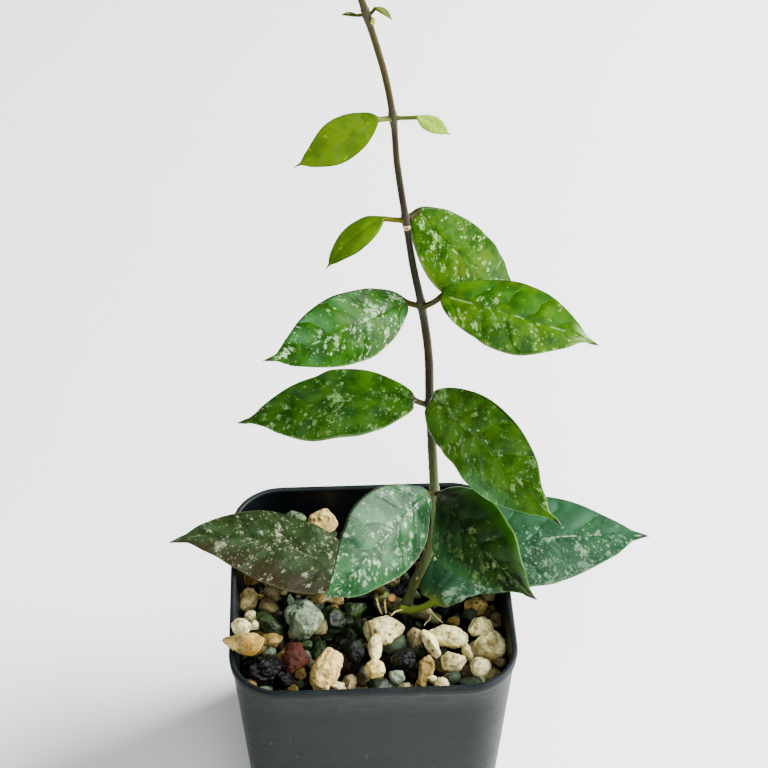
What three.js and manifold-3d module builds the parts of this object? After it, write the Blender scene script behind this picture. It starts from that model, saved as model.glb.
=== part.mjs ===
// A young hoya vine rooted in a square nursery pot of pumice, zeolite and lava grit.
//
// Millimetres, +Z up. The origin is the centre of the pot's underside. The vine stands
// near the middle of the pot and turns the faces of its leaves towards -Y.

import * as THREE from "three";
import Module from "manifold-3d";
import { mergeVertices } from "three/addons/utils/BufferGeometryUtils.js";

const wasm = await Module();
wasm.setup();

// ---------------------------------------------------------------- driving dimensions

const GAP = 0.3; // clearance kept between pieces that rest on each other

const POT = {
  height: 75,
  rimWidth: 75,
  lipHeight: 3,
  topWidth: 74,
  topCorner: 13.5,
  baseWidth: 64,
  baseCorner: 8,
  baseChamfer: 0.8,
  stepsPerCorner: 5,
  wall: 1,
  floor: 1.4,
  drainRadius: 4,
  drainOffset: 19,
  drainSides: 16,
};

const BED = {
  level: 62.5,
  mounds: [
    { x: -33, y: -21, spread: 9, rise: 4.5 },
    { x: -16, y: 33, spread: 10, rise: 3 },
    { x: 26, y: 28, spread: 14, rise: 1.5 },
  ],
  rings: [0.8, 0.6, 0.4, 0.2, 0.04],
};

const STEM = {
  baseRadius: 1.35,
  topRadius: 0.85,
  nodeSwell: 0.45,
  nodeReach: 2.2,
  sides: 8,
  steps: 44,
};

// The shoot's centre line, from the old cutting up to the top.
const STEM_LINE = [
  [10.1, 0.3, 66.1],
  [11.6, -0.2, 73.5],
  [13.8, -1.2, 81.5],
  [15.7, -2.2, 89.3],
  [16.7, -2.9, 97],
  [16.8, -3.1, 104],
  [16.4, -3.1, 111.5],
  [15.4, -3.1, 128],
  [14.6, -3.1, 141.5],
  [14, -3.1, 157.5],
  [12.1, -3.1, 172.5],
  [10, -3.1, 184],
  [8.2, -3.1, 197],
  [6.1, -3.1, 212.5],
  [5.2, -3.1, 224],
  [3.2, -3.1, 235.5],
  [-0.4, -3.1, 249],
  [-3.2, -3.1, 258],
];

// Joints of the shoot, where a pair of leaves stands. The lowest pair stands on the cutting.
const NODES = {
  cutting: [8.6, 0.6, 65.6],
  first: [16.4, -3.1, 111.5],
  second: [14.6, -3.1, 141.5],
  third: [12.1, -3.1, 172.5],
  fourth: [8.2, -3.1, 197],
  fifth: [5.2, -3.1, 224],
  sixth: [-0.4, -3.1, 249],
};

const CUTTING = {
  radius: 1.9,
  endRadius: 1.5,
  sides: 8,
  steps: 10,
  line: [
    [1.6, 5.4, 64.6],
    [5, 3, 64],
    [9.4, 0.4, 63.8],
    [14, -2, 64],
    [19, -4.6, 63.6],
  ],
};

const ROOT = { radius: 0.45, thinning: 0.3, sides: 6, steps: 5 };

// Aerial roots come off the front of the cutting and reach down between the stones.
const ROOT_LINES = [
  [[2.1, 2.4, 64.5], [1.7, 1.6, 64.8], [1.4, 0.9, 64.2], [1.3, 0.7, 63]],
  [[6.3, -0.4, 64.3], [6, -1.6, 64.9], [5.5, -2.6, 64.4], [5.2, -3.1, 63]],
  [[15.3, -4.9, 64.2], [15, -5.8, 64.8], [14.8, -6.8, 64.2], [14.7, -7.2, 63]],
];

const LEAF = {
  thickness: 0.9,
  cup: 0.12,
  petioleRadius: 0.7,
  baseBlend: 0.16,
  tipThickness: 0.4,
  tipHalfWidth: 0.12,
  sides: 8,
  petioleSteps: 3,
  stations: [0.02, 0.07, 0.16, 0.28, 0.42, 0.56, 0.69, 0.8, 0.88, 0.94, 1],
};

// Outline of every blade, in shares of its length and of its widest half: an oval body and
// a narrow drip tip. A higher slope keeps the body wide for longer, a higher power thins it.
const BLADE = {
  bodyEnd: 0.93,
  baseSlope: 2.7,
  basePower: 0.58,
  tipSlope: 2.9,
  tipPower: 0.86,
  bodyPeak: 0.8,
  dripTip: 0.13,
  dripTipStart: 0.6,
  dripTipFull: 0.85,
  dripTipTaper: 0.12,
};

// Each leaf: where the blade starts, the compass turn and climb of its length, the roll of
// its face, its length and width, how far the midrib arches up and sweeps sideways, and
// how far along its length it arches most. The petiole starts at a joint of the shoot.
const LEAVES = {
  leaf_cutting_left: {
    node: "cutting",
    base: [-1.6, 2, 70],
    turn: 166,
    climb: 10,
    roll: 4,
    length: 53.5,
    width: 24.5,
    arch: 2.4,
    sweep: -5.2,
    petioleRadius: 0.95,
    petioleStart: [3.1, 4.4, 66.9],
    petioleBend: [2, 3.9, 69],
    colour: 0x3c4a2c,
  },
  leaf_cutting_right: {
    node: "cutting",
    base: [17.6, -4.1, 71.5],
    turn: 5,
    climb: 15,
    roll: -19,
    length: 59.5,
    width: 26.5,
    arch: 5.7,
    sweep: 6.9,
    peak: 0.39,
    twist: 21,
    petioleRadius: 0.95,
    petioleStart: [9.9, -2.7, 65.2],
    petioleBend: [12.2, -5.6, 66.2],
    colour: 0x3f6b46,
  },
  leaf_1_left: {
    node: "first",
    base: [14.2, -6, 113.8],
    turn: 233,
    climb: -2,
    roll: 44,
    length: 43.5,
    width: 20.8,
    arch: 4.1,
    sweep: -1.4,
    colour: 0x4e8a58,
  },
  leaf_1_right: {
    node: "first",
    base: [17.9, -6.2, 113.8],
    turn: -60,
    climb: -2,
    roll: -43,
    length: 41,
    width: 19.6,
    arch: 6.4,
    sweep: 0,
    colour: 0x2f5c2a,
  },
  leaf_2_left: {
    node: "second",
    base: [10.4, -4.2, 144.2],
    turn: 177,
    climb: -10,
    roll: 17,
    length: 43.5,
    width: 19.6,
    arch: 2.7,
    sweep: -0.3,
    colour: 0x3b7a22,
  },
  leaf_2_right: {
    node: "second",
    base: [15, -7.6, 146.9],
    turn: -55,
    climb: -7,
    roll: -57,
    length: 46,
    width: 19.9,
    arch: 3.1,
    sweep: 2.2,
    colour: 0x36761f,
  },
  leaf_3_left: {
    node: "third",
    base: [8.1, -4.1, 174.4],
    turn: 213,
    climb: 0,
    roll: 39,
    length: 37.3,
    width: 16.4,
    arch: 4.1,
    sweep: 0.7,
    colour: 0x4b8f2c,
  },
  leaf_3_right: {
    node: "third",
    base: [16.3, -7.7, 178.6],
    turn: -21,
    climb: -6,
    roll: -32,
    length: 37.3,
    width: 17,
    arch: 2.1,
    sweep: -0.2,
    colour: 0x4c9a22,
  },
  leaf_4_left: {
    node: "fourth",
    base: [3, -4.1, 198.3],
    turn: 212,
    climb: -26,
    roll: 9,
    length: 17,
    width: 7.1,
    arch: 1.2,
    sweep: -0.5,
    thickness: 0.7,
    petioleRadius: 0.5,
    colour: 0x7ca01a,
  },
  leaf_4_right: {
    node: "fourth",
    base: [11, -0.5, 197.2],
    turn: 22,
    climb: -48,
    roll: -62,
    length: 38,
    width: 18,
    arch: 2.6,
    sweep: -3.4,
    colour: 0x5f9a26,
  },
  leaf_5_left: {
    node: "fifth",
    base: [1.8, -4.1, 224.3],
    turn: 212,
    climb: -11,
    roll: 56,
    length: 21.5,
    width: 9.1,
    arch: 1.2,
    sweep: -0.2,
    thickness: 0.7,
    petioleRadius: 0.5,
    colour: 0x76a416,
  },
  leaf_5_right: {
    node: "fifth",
    base: [10.5, -4.1, 224.6],
    turn: -36,
    climb: -10,
    roll: -21,
    length: 8.1,
    width: 4,
    arch: 0.5,
    sweep: 0,
    thickness: 0.6,
    petioleRadius: 0.45,
    colour: 0xa4c45a,
  },
  leaf_6_left: {
    node: "sixth",
    base: [-2.2, -3.3, 249],
    turn: 186,
    climb: 8,
    roll: 0,
    length: 3.4,
    width: 1.5,
    arch: 0.3,
    sweep: 0,
    thickness: 0.5,
    petioleRadius: 0.35,
    colour: 0xa08a2a,
  },
  leaf_6_right: {
    node: "sixth",
    base: [1.4, -3.3, 250.6],
    turn: -12,
    climb: -34,
    roll: 0,
    length: 4.2,
    width: 1.9,
    arch: 0.6,
    sweep: 0,
    thickness: 0.5,
    petioleRadius: 0.35,
    colour: 0x9aa82c,
  },
};

const BUDS = {
  axillary_bud: { at: [1.9, -3.8, 246.9], size: [1.2, 1.2, 1.8], colour: 0xc9b52e },
  growing_tip: { at: [-4.05, -3.1, 260.7], size: [1.5, 1.3, 5], colour: 0x7d9a2a },
};

// Half outline of a bud from its base up, in shares of its width and height.
const BUD_OUTLINE = [[0, 0], [0.75, 0.08], [1, 0.35], [0.8, 0.65], [0.35, 0.9], [0, 1]];
const BUD_SIDES = 8;

const OLD_PETIOLE = {
  radius: 0.7,
  sides: 6,
  steps: 4,
  line: [[15.8, -4.3, 66.1], [17.2, -5.3, 66.5], [19, -6.4, 66.1], [20.4, -7, 65.4]],
};

const COLOURS = {
  pot: 0x46555a,
  grit: 0x54493a,
  cutting: 0x3d4420,
  shoot: 0x4d4733,
  root: 0xc4a56a,
  bract: 0xcdb98c,
};

const STONE_KINDS = {
  pumice: { colour: 0xd9ceb4, roughness: 0.9, lumps: 0.06 },
  pumice_tan: { colour: 0xbfa27a, roughness: 0.9, lumps: 0.09 },
  zeolite: { colour: 0x8fb39d, roughness: 0.85, lumps: 0.1 },
  zeolite_dark: { colour: 0x49604a, roughness: 0.8, lumps: 0.12 },
  lava_black: { colour: 0x1d1c20, roughness: 0.7, lumps: 0.11 },
  lava_red: { colour: 0x6e3733, roughness: 0.85, lumps: 0.11 },
  gravel: { colour: 0x8c7552, roughness: 0.8, lumps: 0.06 },
};

// Each top stone: kind, centre x y z, width depth height, and turn in degrees. Where two
// stones lean on each other, the later one is hollowed to fit the earlier one.
const STONES = [
  ["pumice_tan", -33.2, -21.6, 77.5, 12, 6.4, 5.6, -6],
  ["pumice", -34, -15.2, 77, 5.4, 5, 4.6, 20],
  ["lava_black", -28.9, -22.8, 69.4, 10.4, 9.6, 9.6, 12],
  ["pumice", 4.2, -9.2, 66, 12, 9, 7, 14],
  ["pumice", 0.8, -15.6, 65.6, 4, 8, 6, -4],
  ["pumice", 0.4, -22, 65, 5.6, 6, 5, 0],
  ["pumice_tan", -12.5, -22.7, 66, 9, 13, 9, -15],
  ["lava_red", -20.3, -18, 66, 7.2, 10, 8.6, -6],
  ["zeolite", -17.8, -4.9, 66.5, 10.6, 12, 9.4, 25],
  ["zeolite_dark", -27.2, -5, 66, 6, 8.6, 7, 35],
  ["pumice", -32, 3.5, 65.5, 5, 7, 6, -15],
  ["gravel", -26.6, 6.6, 65, 5.4, 5.6, 5, 0],
  ["gravel", -27.4, 0.9, 65.4, 6, 5, 4.4, -20],
  ["lava_black", -23.6, -25.6, 65.8, 5.4, 5.6, 5, 30],
  ["lava_black", -4.9, -15.4, 65.6, 6, 8, 6.6, 10],
  ["lava_black", 8.4, -19.6, 65.6, 7, 7.6, 6.6, 25],
  ["gravel", 11.6, -11.9, 65.4, 4.8, 5, 4.8, 0],
  ["pumice", 15.6, -14.4, 66, 4.6, 9, 6, 25],
  ["pumice", 21.4, -11.7, 66, 11, 7, 6, -12],
  ["pumice", 21.2, -20.6, 65.5, 7.2, 6, 5.4, 0],
  ["pumice_tan", 13.6, -23.3, 65.5, 4.8, 8, 6.6, -15],
  ["pumice", 29.8, -8.4, 66, 7.4, 5.6, 5.2, 10],
  ["pumice", 30.7, -15.7, 66, 8.8, 9.2, 8, 0],
  ["pumice", 28.2, -23.6, 66, 6, 6.4, 6, 45],
  ["pumice", 25.2, -17, 64.8, 3, 5, 4.6, 10],
  ["pumice_tan", 29, -0.8, 65, 6.6, 5.6, 5, 15],
  ["gravel", 32.6, -4.4, 65, 3.8, 5, 4.6, 0],
  ["pumice", 17.6, -27.6, 65, 4.4, 4.2, 4, 0],
  ["gravel", -6.4, -26.2, 65, 3.8, 5.6, 5, -10],
  ["zeolite_dark", -9.9, -4.4, 65.2, 6, 6.4, 5.4, 0],
  ["zeolite_dark", -4.3, -0.6, 65.2, 5.6, 5.4, 4.4, 0],
  ["pumice_tan", -12.3, 30.4, 67.4, 8.8, 7.6, 6.6, 0],
  ["zeolite", -20, 31.3, 67.4, 6.4, 5.2, 5, 0],
  ["gravel", 6.6, 10.4, 65, 5, 5, 4.4, 0],
];

// Broad waves that run over a stone's surface and make it uneven.
const LUMP_WAVES = [
  { along: new THREE.Vector3(0.8, 0.5, 0.3), frequency: 2.6, height: 1 },
  { along: new THREE.Vector3(-0.4, 0.8, 0.5), frequency: 3.9, height: 0.7 },
  { along: new THREE.Vector3(0.3, -0.6, 0.8), frequency: 5.3, height: 0.5 },
];
const LUMP_SHIFT = 2.4; // how far the waves shift from one stone to the next

// ---------------------------------------------------------------- shared geometry

const vector = (point) => new THREE.Vector3(...point);
const radians = THREE.MathUtils.degToRad;
const lerp = THREE.MathUtils.lerp;

/** Closed body through rings that all have the same number of points, with both ends capped. */
function loft(rings) {
  const count = rings[0].length;
  const last = (rings.length - 1) * count;
  const faces = [];
  for (let ring = 0; ring < last; ring += count) {
    for (let side = 0; side < count; side++) {
      const a = ring + side;
      const b = ring + ((side + 1) % count);
      faces.push(a, b, b + count, a, b + count, a + count);
    }
  }
  for (let side = 1; side < count - 1; side++) {
    faces.push(0, side + 1, side);
    faces.push(last, last + side, last + side + 1);
  }
  const geometry = new THREE.BufferGeometry();
  geometry.setFromPoints(rings.flat());
  geometry.setIndex(faces);
  return geometry;
}

/** An ellipse of points about a centre, which starts at its side edge and turns to its normal. */
function ellipse(centre, side, normal, halfWidth, halfHeight, count, fold = 0) {
  const points = [];
  for (let i = 0; i < count; i++) {
    const angle = (i / count) * 2 * Math.PI;
    const across = Math.cos(angle) * halfWidth;
    const up = Math.sin(angle) * halfHeight - Math.abs(across) * fold;
    points.push(centre.clone().addScaledVector(side, across).addScaledVector(normal, up));
  }
  return points;
}

/** Closed tube along a smooth line, with a radius for each fraction of its length. */
function taperedTube(line, radiusAt, sides, steps) {
  const curve = new THREE.CatmullRomCurve3(line.map(vector), false, "centripetal");
  const rings = [];
  for (let i = 0; i <= steps; i++) {
    const along = curve.getTangentAt(i / steps);
    const centre = curve.getPointAt(i / steps);
    const side = new THREE.Vector3(0, 1, 0).cross(along).normalize();
    const normal = along.clone().cross(side);
    const radius = radiusAt(i / steps, centre);
    rings.push(ellipse(centre, side, normal, radius, radius, sides));
  }
  return loft(rings);
}

function solidOf(geometry) {
  const bare = geometry.clone();
  bare.deleteAttribute("normal");
  bare.deleteAttribute("uv");
  const merged = mergeVertices(bare, 1e-3);
  return new wasm.Manifold(new wasm.Mesh({
    numProp: 3,
    vertProperties: new Float32Array(merged.attributes.position.array),
    triVerts: new Uint32Array(merged.index.array),
  }));
}

function geometryOf(solid) {
  const mesh = solid.getMesh();
  const geometry = new THREE.BufferGeometry();
  geometry.setAttribute("position", new THREE.BufferAttribute(mesh.vertProperties, 3));
  geometry.setIndex(new THREE.BufferAttribute(mesh.triVerts, 1));
  return geometry;
}

/** A named piece whose geometry is given in the part's frame and then hung at its own place. */
function piece(name, geometry, place, colour, roughness) {
  const material = new THREE.MeshStandardMaterial({ color: colour, roughness, metalness: 0 });
  const mesh = new THREE.Mesh(geometry.translate(-place.x, -place.y, -place.z), material);
  mesh.name = name;
  mesh.position.copy(place);
  return mesh;
}

// ---------------------------------------------------------------- pot

/** A level square outline with round corners, counter-clockwise seen from above. */
function roundedSquare(width, corner, heightAt) {
  const reach = width / 2 - corner;
  const points = [];
  for (let quarter = 0; quarter < 4; quarter++) {
    const centreAngle = Math.PI / 4 + (quarter * Math.PI) / 2;
    const centreX = Math.sign(Math.cos(centreAngle)) * reach;
    const centreY = Math.sign(Math.sin(centreAngle)) * reach;
    for (let step = 0; step <= POT.stepsPerCorner; step++) {
      const angle = (quarter + step / POT.stepsPerCorner) * (Math.PI / 2);
      const x = centreX + Math.cos(angle) * corner;
      const y = centreY + Math.sin(angle) * corner;
      points.push(new THREE.Vector3(x, y, heightAt(x, y)));
    }
  }
  return points;
}

const potWidthAt = (z) => lerp(POT.baseWidth, POT.topWidth, z / POT.height);
const potCornerAt = (z) => lerp(POT.baseCorner, POT.topCorner, z / POT.height);

/** Outline of the pot's wall at a height, moved outwards by some amount. */
function potOutline(z, outwards, heightAt = () => z) {
  return roundedSquare(potWidthAt(z) + 2 * outwards, potCornerAt(z) + outwards, heightAt);
}

function potGeometry() {
  const lipBottom = POT.height - POT.lipHeight;
  const lipStep = (POT.rimWidth - POT.topWidth) / 2;
  const outside = solidOf(loft([
    potOutline(0, -POT.baseChamfer),
    potOutline(POT.baseChamfer, 0),
    potOutline(lipBottom, 0),
    potOutline(lipBottom + lipStep, lipStep),
    potOutline(POT.height, lipStep),
  ]));
  const above = POT.height + 1;
  const inside = solidOf(loft([potOutline(POT.floor, -POT.wall), potOutline(above, -POT.wall)]));
  let pot = outside.subtract(inside);
  const { drainRadius, drainSides } = POT;
  for (const signX of [-1, 1]) {
    for (const signY of [-1, 1]) {
      const drain = new THREE.CylinderGeometry(drainRadius, drainRadius, 4 * POT.floor, drainSides);
      drain.rotateX(Math.PI / 2);
      drain.translate(signX * POT.drainOffset, signY * POT.drainOffset, 0);
      pot = pot.subtract(solidOf(drain));
    }
  }
  return geometryOf(pot);
}

// ---------------------------------------------------------------- stones and grit bed

function lumpAt(direction, seed) {
  let sum = 0;
  for (const [index, wave] of LUMP_WAVES.entries()) {
    const shift = seed * (LUMP_SHIFT + index);
    sum += wave.height * Math.sin(direction.dot(wave.along) * wave.frequency + shift);
  }
  return sum;
}

/** One stone as a closed body, optionally grown all round, in the part's frame. */
function stoneSolid([kind, x, y, z, width, depth, height, turn], seed, grow) {
  const round = new THREE.IcosahedronGeometry(1, 1);
  const position = round.attributes.position;
  const half = new THREE.Vector3(width / 2, depth / 2, height / 2);
  for (let i = 0; i < position.count; i++) {
    const direction = new THREE.Vector3().fromBufferAttribute(position, i);
    const swell = 1 + STONE_KINDS[kind].lumps * lumpAt(direction, seed);
    const point = direction.clone().multiply(half).multiplyScalar(swell);
    point.addScaledVector(direction, grow);
    position.setXYZ(i, point.x, point.y, point.z);
  }
  round.rotateZ(radians(turn));
  round.translate(x, y, z);
  return solidOf(round);
}

function bedHeightAt(x, y) {
  let height = BED.level;
  for (const mound of BED.mounds) {
    const distance = Math.hypot(x - mound.x, y - mound.y) / mound.spread;
    height += mound.rise * Math.exp(-distance * distance);
  }
  return height;
}

/** The packed grit under the top stones, filling the pot to just inside its walls. */
function bedSolid() {
  const inwards = -POT.wall - GAP;
  const top = potOutline(BED.level, inwards, bedHeightAt);
  const rings = [potOutline(POT.floor + GAP, inwards), top];
  for (const share of BED.rings) {
    rings.push(top.map(({ x, y }) => {
      return new THREE.Vector3(x * share, y * share, bedHeightAt(x * share, y * share));
    }));
  }
  return solidOf(loft(rings));
}

// ---------------------------------------------------------------- stems

/** The shoot thins towards its top and swells at each joint. */
function shootRadius(along, centre) {
  let radius = lerp(STEM.baseRadius, STEM.topRadius, along);
  for (const node of Object.values(NODES).slice(1)) {
    const distance = centre.distanceTo(vector(node)) / STEM.nodeReach;
    radius += STEM.nodeSwell * Math.exp(-distance * distance);
  }
  return radius;
}

const shootGeometry = () => taperedTube(STEM_LINE, shootRadius, STEM.sides, STEM.steps);

/** The cutting that lies on the grit, optionally grown all round and at both ends. */
function cuttingGeometry(grow) {
  const line = CUTTING.line.map((point) => [...point]);
  line.at(0)[0] -= grow;
  line.at(-1)[0] += grow;
  const radius = (along) => lerp(CUTTING.radius, CUTTING.endRadius, along) + grow;
  return taperedTube(line, radius, CUTTING.sides, CUTTING.steps);
}

const rootRadius = (along) => ROOT.radius * (1 - ROOT.thinning * along);

// ---------------------------------------------------------------- leaves

/** Half the blade's width at a fraction of its length, as a share of its widest half. */
function bladeShare(t) {
  const s = Math.min(t / BLADE.bodyEnd, 1);
  const widening = (1 - (1 - s) ** BLADE.baseSlope) ** BLADE.basePower;
  const narrowing = (1 - s ** BLADE.tipSlope) ** BLADE.tipPower;
  const taper = Math.min((1 - t) / BLADE.dripTipTaper, 1);
  const start = (t - BLADE.dripTipStart) / (BLADE.dripTipFull - BLADE.dripTipStart);
  const dripTip = BLADE.dripTip * taper * THREE.MathUtils.clamp(start, 0, 1);
  return Math.hypot(widening * narrowing, dripTip) / BLADE.bodyPeak;
}

/** Unit vectors along a leaf's length, to its left and out of its upper face. */
function leafAxes({ turn, climb, roll }) {
  const level = Math.cos(radians(climb));
  const along = new THREE.Vector3(
    level * Math.cos(radians(turn)),
    level * Math.sin(radians(turn)),
    Math.sin(radians(climb)),
  );
  const side = new THREE.Vector3(0, 0, 1).cross(along).normalize();
  const normal = along.clone().cross(side);
  side.applyAxisAngle(along, -radians(roll));
  normal.applyAxisAngle(along, -radians(roll));
  return { along, side, normal };
}

/** A point on the midrib at a fraction t of the blade's length. */
function midribPoint(leaf, axes, t) {
  const warped = t ** (Math.log(0.5) / Math.log(leaf.peak ?? 0.5));
  const bow = 4 * warped * (1 - warped);
  return vector(leaf.base)
    .addScaledVector(axes.along, t * leaf.length)
    .addScaledVector(axes.normal, bow * leaf.arch)
    .addScaledVector(axes.side, bow * leaf.sweep);
}

/** Where the petiole leaves the shoot, just clear of its surface. */
function petioleStart(leaf) {
  if (leaf.petioleStart) {
    return vector(leaf.petioleStart);
  }
  const node = vector(NODES[leaf.node]);
  const outwards = vector(leaf.base).sub(node).setZ(0).normalize();
  const share = (node.z - STEM_LINE[0][2]) / (STEM_LINE.at(-1)[2] - STEM_LINE[0][2]);
  return node.addScaledVector(outwards, shootRadius(share, node) + GAP);
}

/** The petiole's curve: level out of the joint, then over to the base of the blade. */
function petioleCurve(leaf) {
  const start = petioleStart(leaf);
  const base = vector(leaf.base);
  const halfway = start.clone().lerp(base, 0.5).setZ(start.z);
  const bend = leaf.petioleBend ? vector(leaf.petioleBend) : halfway;
  return new THREE.QuadraticBezierCurve3(start, bend, base);
}

/** Petiole and blade in one closed body. A twisted leaf turns back to its roll by its tip. */
function leafGeometry(leaf) {
  const axes = leafAxes(leaf);
  const petiole = petioleCurve(leaf);
  const stalk = leaf.petioleRadius ?? LEAF.petioleRadius;
  const halfThickness = (leaf.thickness ?? LEAF.thickness) / 2;
  const twist = leaf.twist ?? 0;
  const rings = [];

  const addRing = (centre, tangent, halfWidth, halfHeight, turn, fold) => {
    const side = axes.side.clone().applyAxisAngle(axes.along, radians(turn));
    side.addScaledVector(tangent, -side.dot(tangent)).normalize();
    const normal = tangent.clone().cross(side);
    rings.push(ellipse(centre, side, normal, halfWidth, halfHeight, LEAF.sides, fold));
  };

  for (let i = 0; i < LEAF.petioleSteps; i++) {
    const u = i / LEAF.petioleSteps;
    addRing(petiole.getPoint(u), petiole.getTangent(u), stalk, stalk, twist, 0);
  }
  for (const t of LEAF.stations) {
    const step = 0.01;
    const centre = midribPoint(leaf, axes, t);
    const ahead = midribPoint(leaf, axes, Math.min(t + step, 1));
    const tangent = ahead.sub(midribPoint(leaf, axes, Math.max(t - step, 0))).normalize();
    const blend = Math.min(t / LEAF.baseBlend, 1);
    const narrowest = lerp(stalk, LEAF.tipHalfWidth, t);
    const halfWidth = Math.max((bladeShare(t) * leaf.width) / 2, narrowest);
    const halfHeight = lerp(stalk, halfThickness, blend) * lerp(1, LEAF.tipThickness, t ** 4);
    addRing(centre, tangent, halfWidth, halfHeight, twist * (1 - t), LEAF.cup * blend);
  }
  return loft(rings);
}

/** A pointed bud standing upright. */
function budGeometry({ at, size }) {
  const points = BUD_OUTLINE.map(([out, up]) => new THREE.Vector2(out / 2, up - 0.5));
  const bud = new THREE.LatheGeometry(points, BUD_SIDES);
  bud.rotateX(Math.PI / 2);
  bud.scale(size[0], size[1], size[2]);
  bud.translate(at[0], at[1], at[2]);
  return geometryOf(solidOf(bud));
}

// ---------------------------------------------------------------- assembly

const plant = new THREE.Group();
const origin = new THREE.Vector3();

plant.add(piece("pot", potGeometry(), origin, COLOURS.pot, 0.55));

const cuttingSeat = solidOf(cuttingGeometry(GAP));
let bed = bedSolid().subtract(cuttingSeat);
const placed = [cuttingSeat];
const counts = {};
for (const [index, spec] of STONES.entries()) {
  const [kind, x, y, z] = spec;
  counts[kind] = (counts[kind] ?? 0) + 1;
  let stone = stoneSolid(spec, index, 0);
  for (const neighbour of placed) {
    stone = stone.subtract(neighbour);
  }
  const grown = stoneSolid(spec, index, GAP);
  placed.push(grown);
  bed = bed.subtract(grown);
  const name = `${kind}_${String(counts[kind]).padStart(2, "0")}`;
  const look = STONE_KINDS[kind];
  plant.add(piece(name, geometryOf(stone), new THREE.Vector3(x, y, z), look.colour, look.roughness));
}
plant.add(piece("grit_bed", geometryOf(bed), origin, COLOURS.grit, 0.95));

plant.add(piece("cutting_stem", cuttingGeometry(0), vector(NODES.cutting), COLOURS.cutting, 0.8));
plant.add(piece("vine_stem", shootGeometry(), vector(STEM_LINE[0]), COLOURS.shoot, 0.6));

for (const [index, line] of ROOT_LINES.entries()) {
  const root = taperedTube(line, rootRadius, ROOT.sides, ROOT.steps);
  plant.add(piece(`aerial_root_${index + 1}`, root, vector(line[0]), COLOURS.root, 0.8));
}

const { line: stubLine, radius: stubRadius, sides: stubSides, steps: stubSteps } = OLD_PETIOLE;
const stub = taperedTube(stubLine, () => stubRadius, stubSides, stubSteps);
plant.add(piece("old_petiole_stub", stub, vector(stubLine[0]), COLOURS.bract, 0.8));

for (const [name, leaf] of Object.entries(LEAVES)) {
  plant.add(piece(name, leafGeometry(leaf), vector(leaf.base), leaf.colour, 0.35));
}
for (const [name, bud] of Object.entries(BUDS)) {
  plant.add(piece(name, budGeometry(bud), vector(bud.at), bud.colour, 0.5));
}

export default plant;
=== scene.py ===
"""A young hoya vine in a square nursery pot of pumice, zeolite and lava grit.

Shapes are worked out in millimetres in the part's frame and turned into metres when a mesh is
made. +Z is up, and the faces of the leaves look towards -Y. Colours are given as they show on a
screen, from 0 to 255.
"""
import math
from dataclasses import dataclass
from itertools import product

import bmesh
import bpy
import numpy as np
from mathutils import Matrix, Vector


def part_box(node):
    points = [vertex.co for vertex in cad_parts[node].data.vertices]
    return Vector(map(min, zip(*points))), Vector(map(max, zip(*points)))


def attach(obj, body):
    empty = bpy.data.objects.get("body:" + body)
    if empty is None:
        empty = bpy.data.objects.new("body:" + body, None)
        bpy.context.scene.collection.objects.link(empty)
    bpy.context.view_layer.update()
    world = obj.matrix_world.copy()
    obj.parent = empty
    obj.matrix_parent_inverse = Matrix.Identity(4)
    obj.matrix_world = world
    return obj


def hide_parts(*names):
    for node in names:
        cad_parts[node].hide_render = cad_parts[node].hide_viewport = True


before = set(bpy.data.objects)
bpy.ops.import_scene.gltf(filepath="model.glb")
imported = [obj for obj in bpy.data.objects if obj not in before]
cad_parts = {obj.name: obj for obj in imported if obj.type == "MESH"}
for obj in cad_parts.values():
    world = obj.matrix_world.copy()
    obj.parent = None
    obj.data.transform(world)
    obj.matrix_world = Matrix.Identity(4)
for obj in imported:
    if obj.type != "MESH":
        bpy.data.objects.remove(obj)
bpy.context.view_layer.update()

MM = 0.001
BODY = "root"


# -------------------------------- measures shared by pieces

class Pot:
    height, wall, floor = 75, 1, 1.4
    widths, corners = (64, 74), (8, 13.5)   # at the base and at the top
    lip_height, lip_step = 3, 0.5
    drain_radius, drain_offset = 4, 19
    bow = 0.3                               # how far the walls bow in between their corners


BED_LEVEL = 62.5    # of the ground that the top stones lie in
BED_DROP = 5.5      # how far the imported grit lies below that, under the loose grains
BED_MOUNDS = ((-33, -21, 9, 4.5), (-16, 33, 10, 3), (26, 28, 14, 1.5))  # x, y, spread, rise

STEM_LINE = (
    (10.1, 0.3, 65.9), (11.6, -0.2, 73.5), (13.8, -1.2, 81.5), (15.7, -2.2, 89.3),
    (16.7, -2.9, 97), (16.8, -3.1, 104), (16.4, -3.1, 111.5), (15.4, -3.1, 128),
    (14.6, -3.1, 141.5), (14, -3.1, 157.5), (12.1, -3.1, 172.5), (10, -3.1, 184),
    (8.2, -3.1, 197), (6.1, -3.1, 212.5), (5.2, -3.1, 224), (3.2, -3.1, 235.5),
    (-0.4, -3.1, 249), (-3.2, -3.1, 258),
)
STEM_RADII = ((66, 1.3), (111, 1.2), (160, 1.02), (176, 0.94), (190, 0.78), (215, 0.73), (258, 0.75))
JOINTS = {
    "first": (16.4, -3.1, 111.5), "second": (14.6, -3.1, 141.5), "third": (12.1, -3.1, 172.5),
    "fourth": (8.2, -3.1, 197), "fifth": (5.2, -3.1, 224), "sixth": (-0.4, -3.1, 249),
}
CUTTING_LINE = ((1.6, 5.4, 64.6), (5, 3, 64), (9.4, 0.4, 63.8), (14, -2, 64), (19, -4.6, 63.6))
CUTTING_RADIUS, CUTTING_END_RADIUS = 1.9, 1.5


# -------------------------------- repeatable noise

def lattice(cells, salt):
    """Repeatable values from 0 to 1 for whole-number lattice points."""
    x, y, z = np.moveaxis(cells.astype(np.int64), -1, 0)
    mixed = (x * 374761393 + y * 668265263 + z * 2147483629 + salt * 1274126177) & 0xFFFFFFFF
    mixed = ((mixed ^ (mixed >> 13)) * 1274126177) & 0xFFFFFFFF
    return ((mixed ^ (mixed >> 16)) & 0xFFFFFF) / 0xFFFFFF


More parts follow.
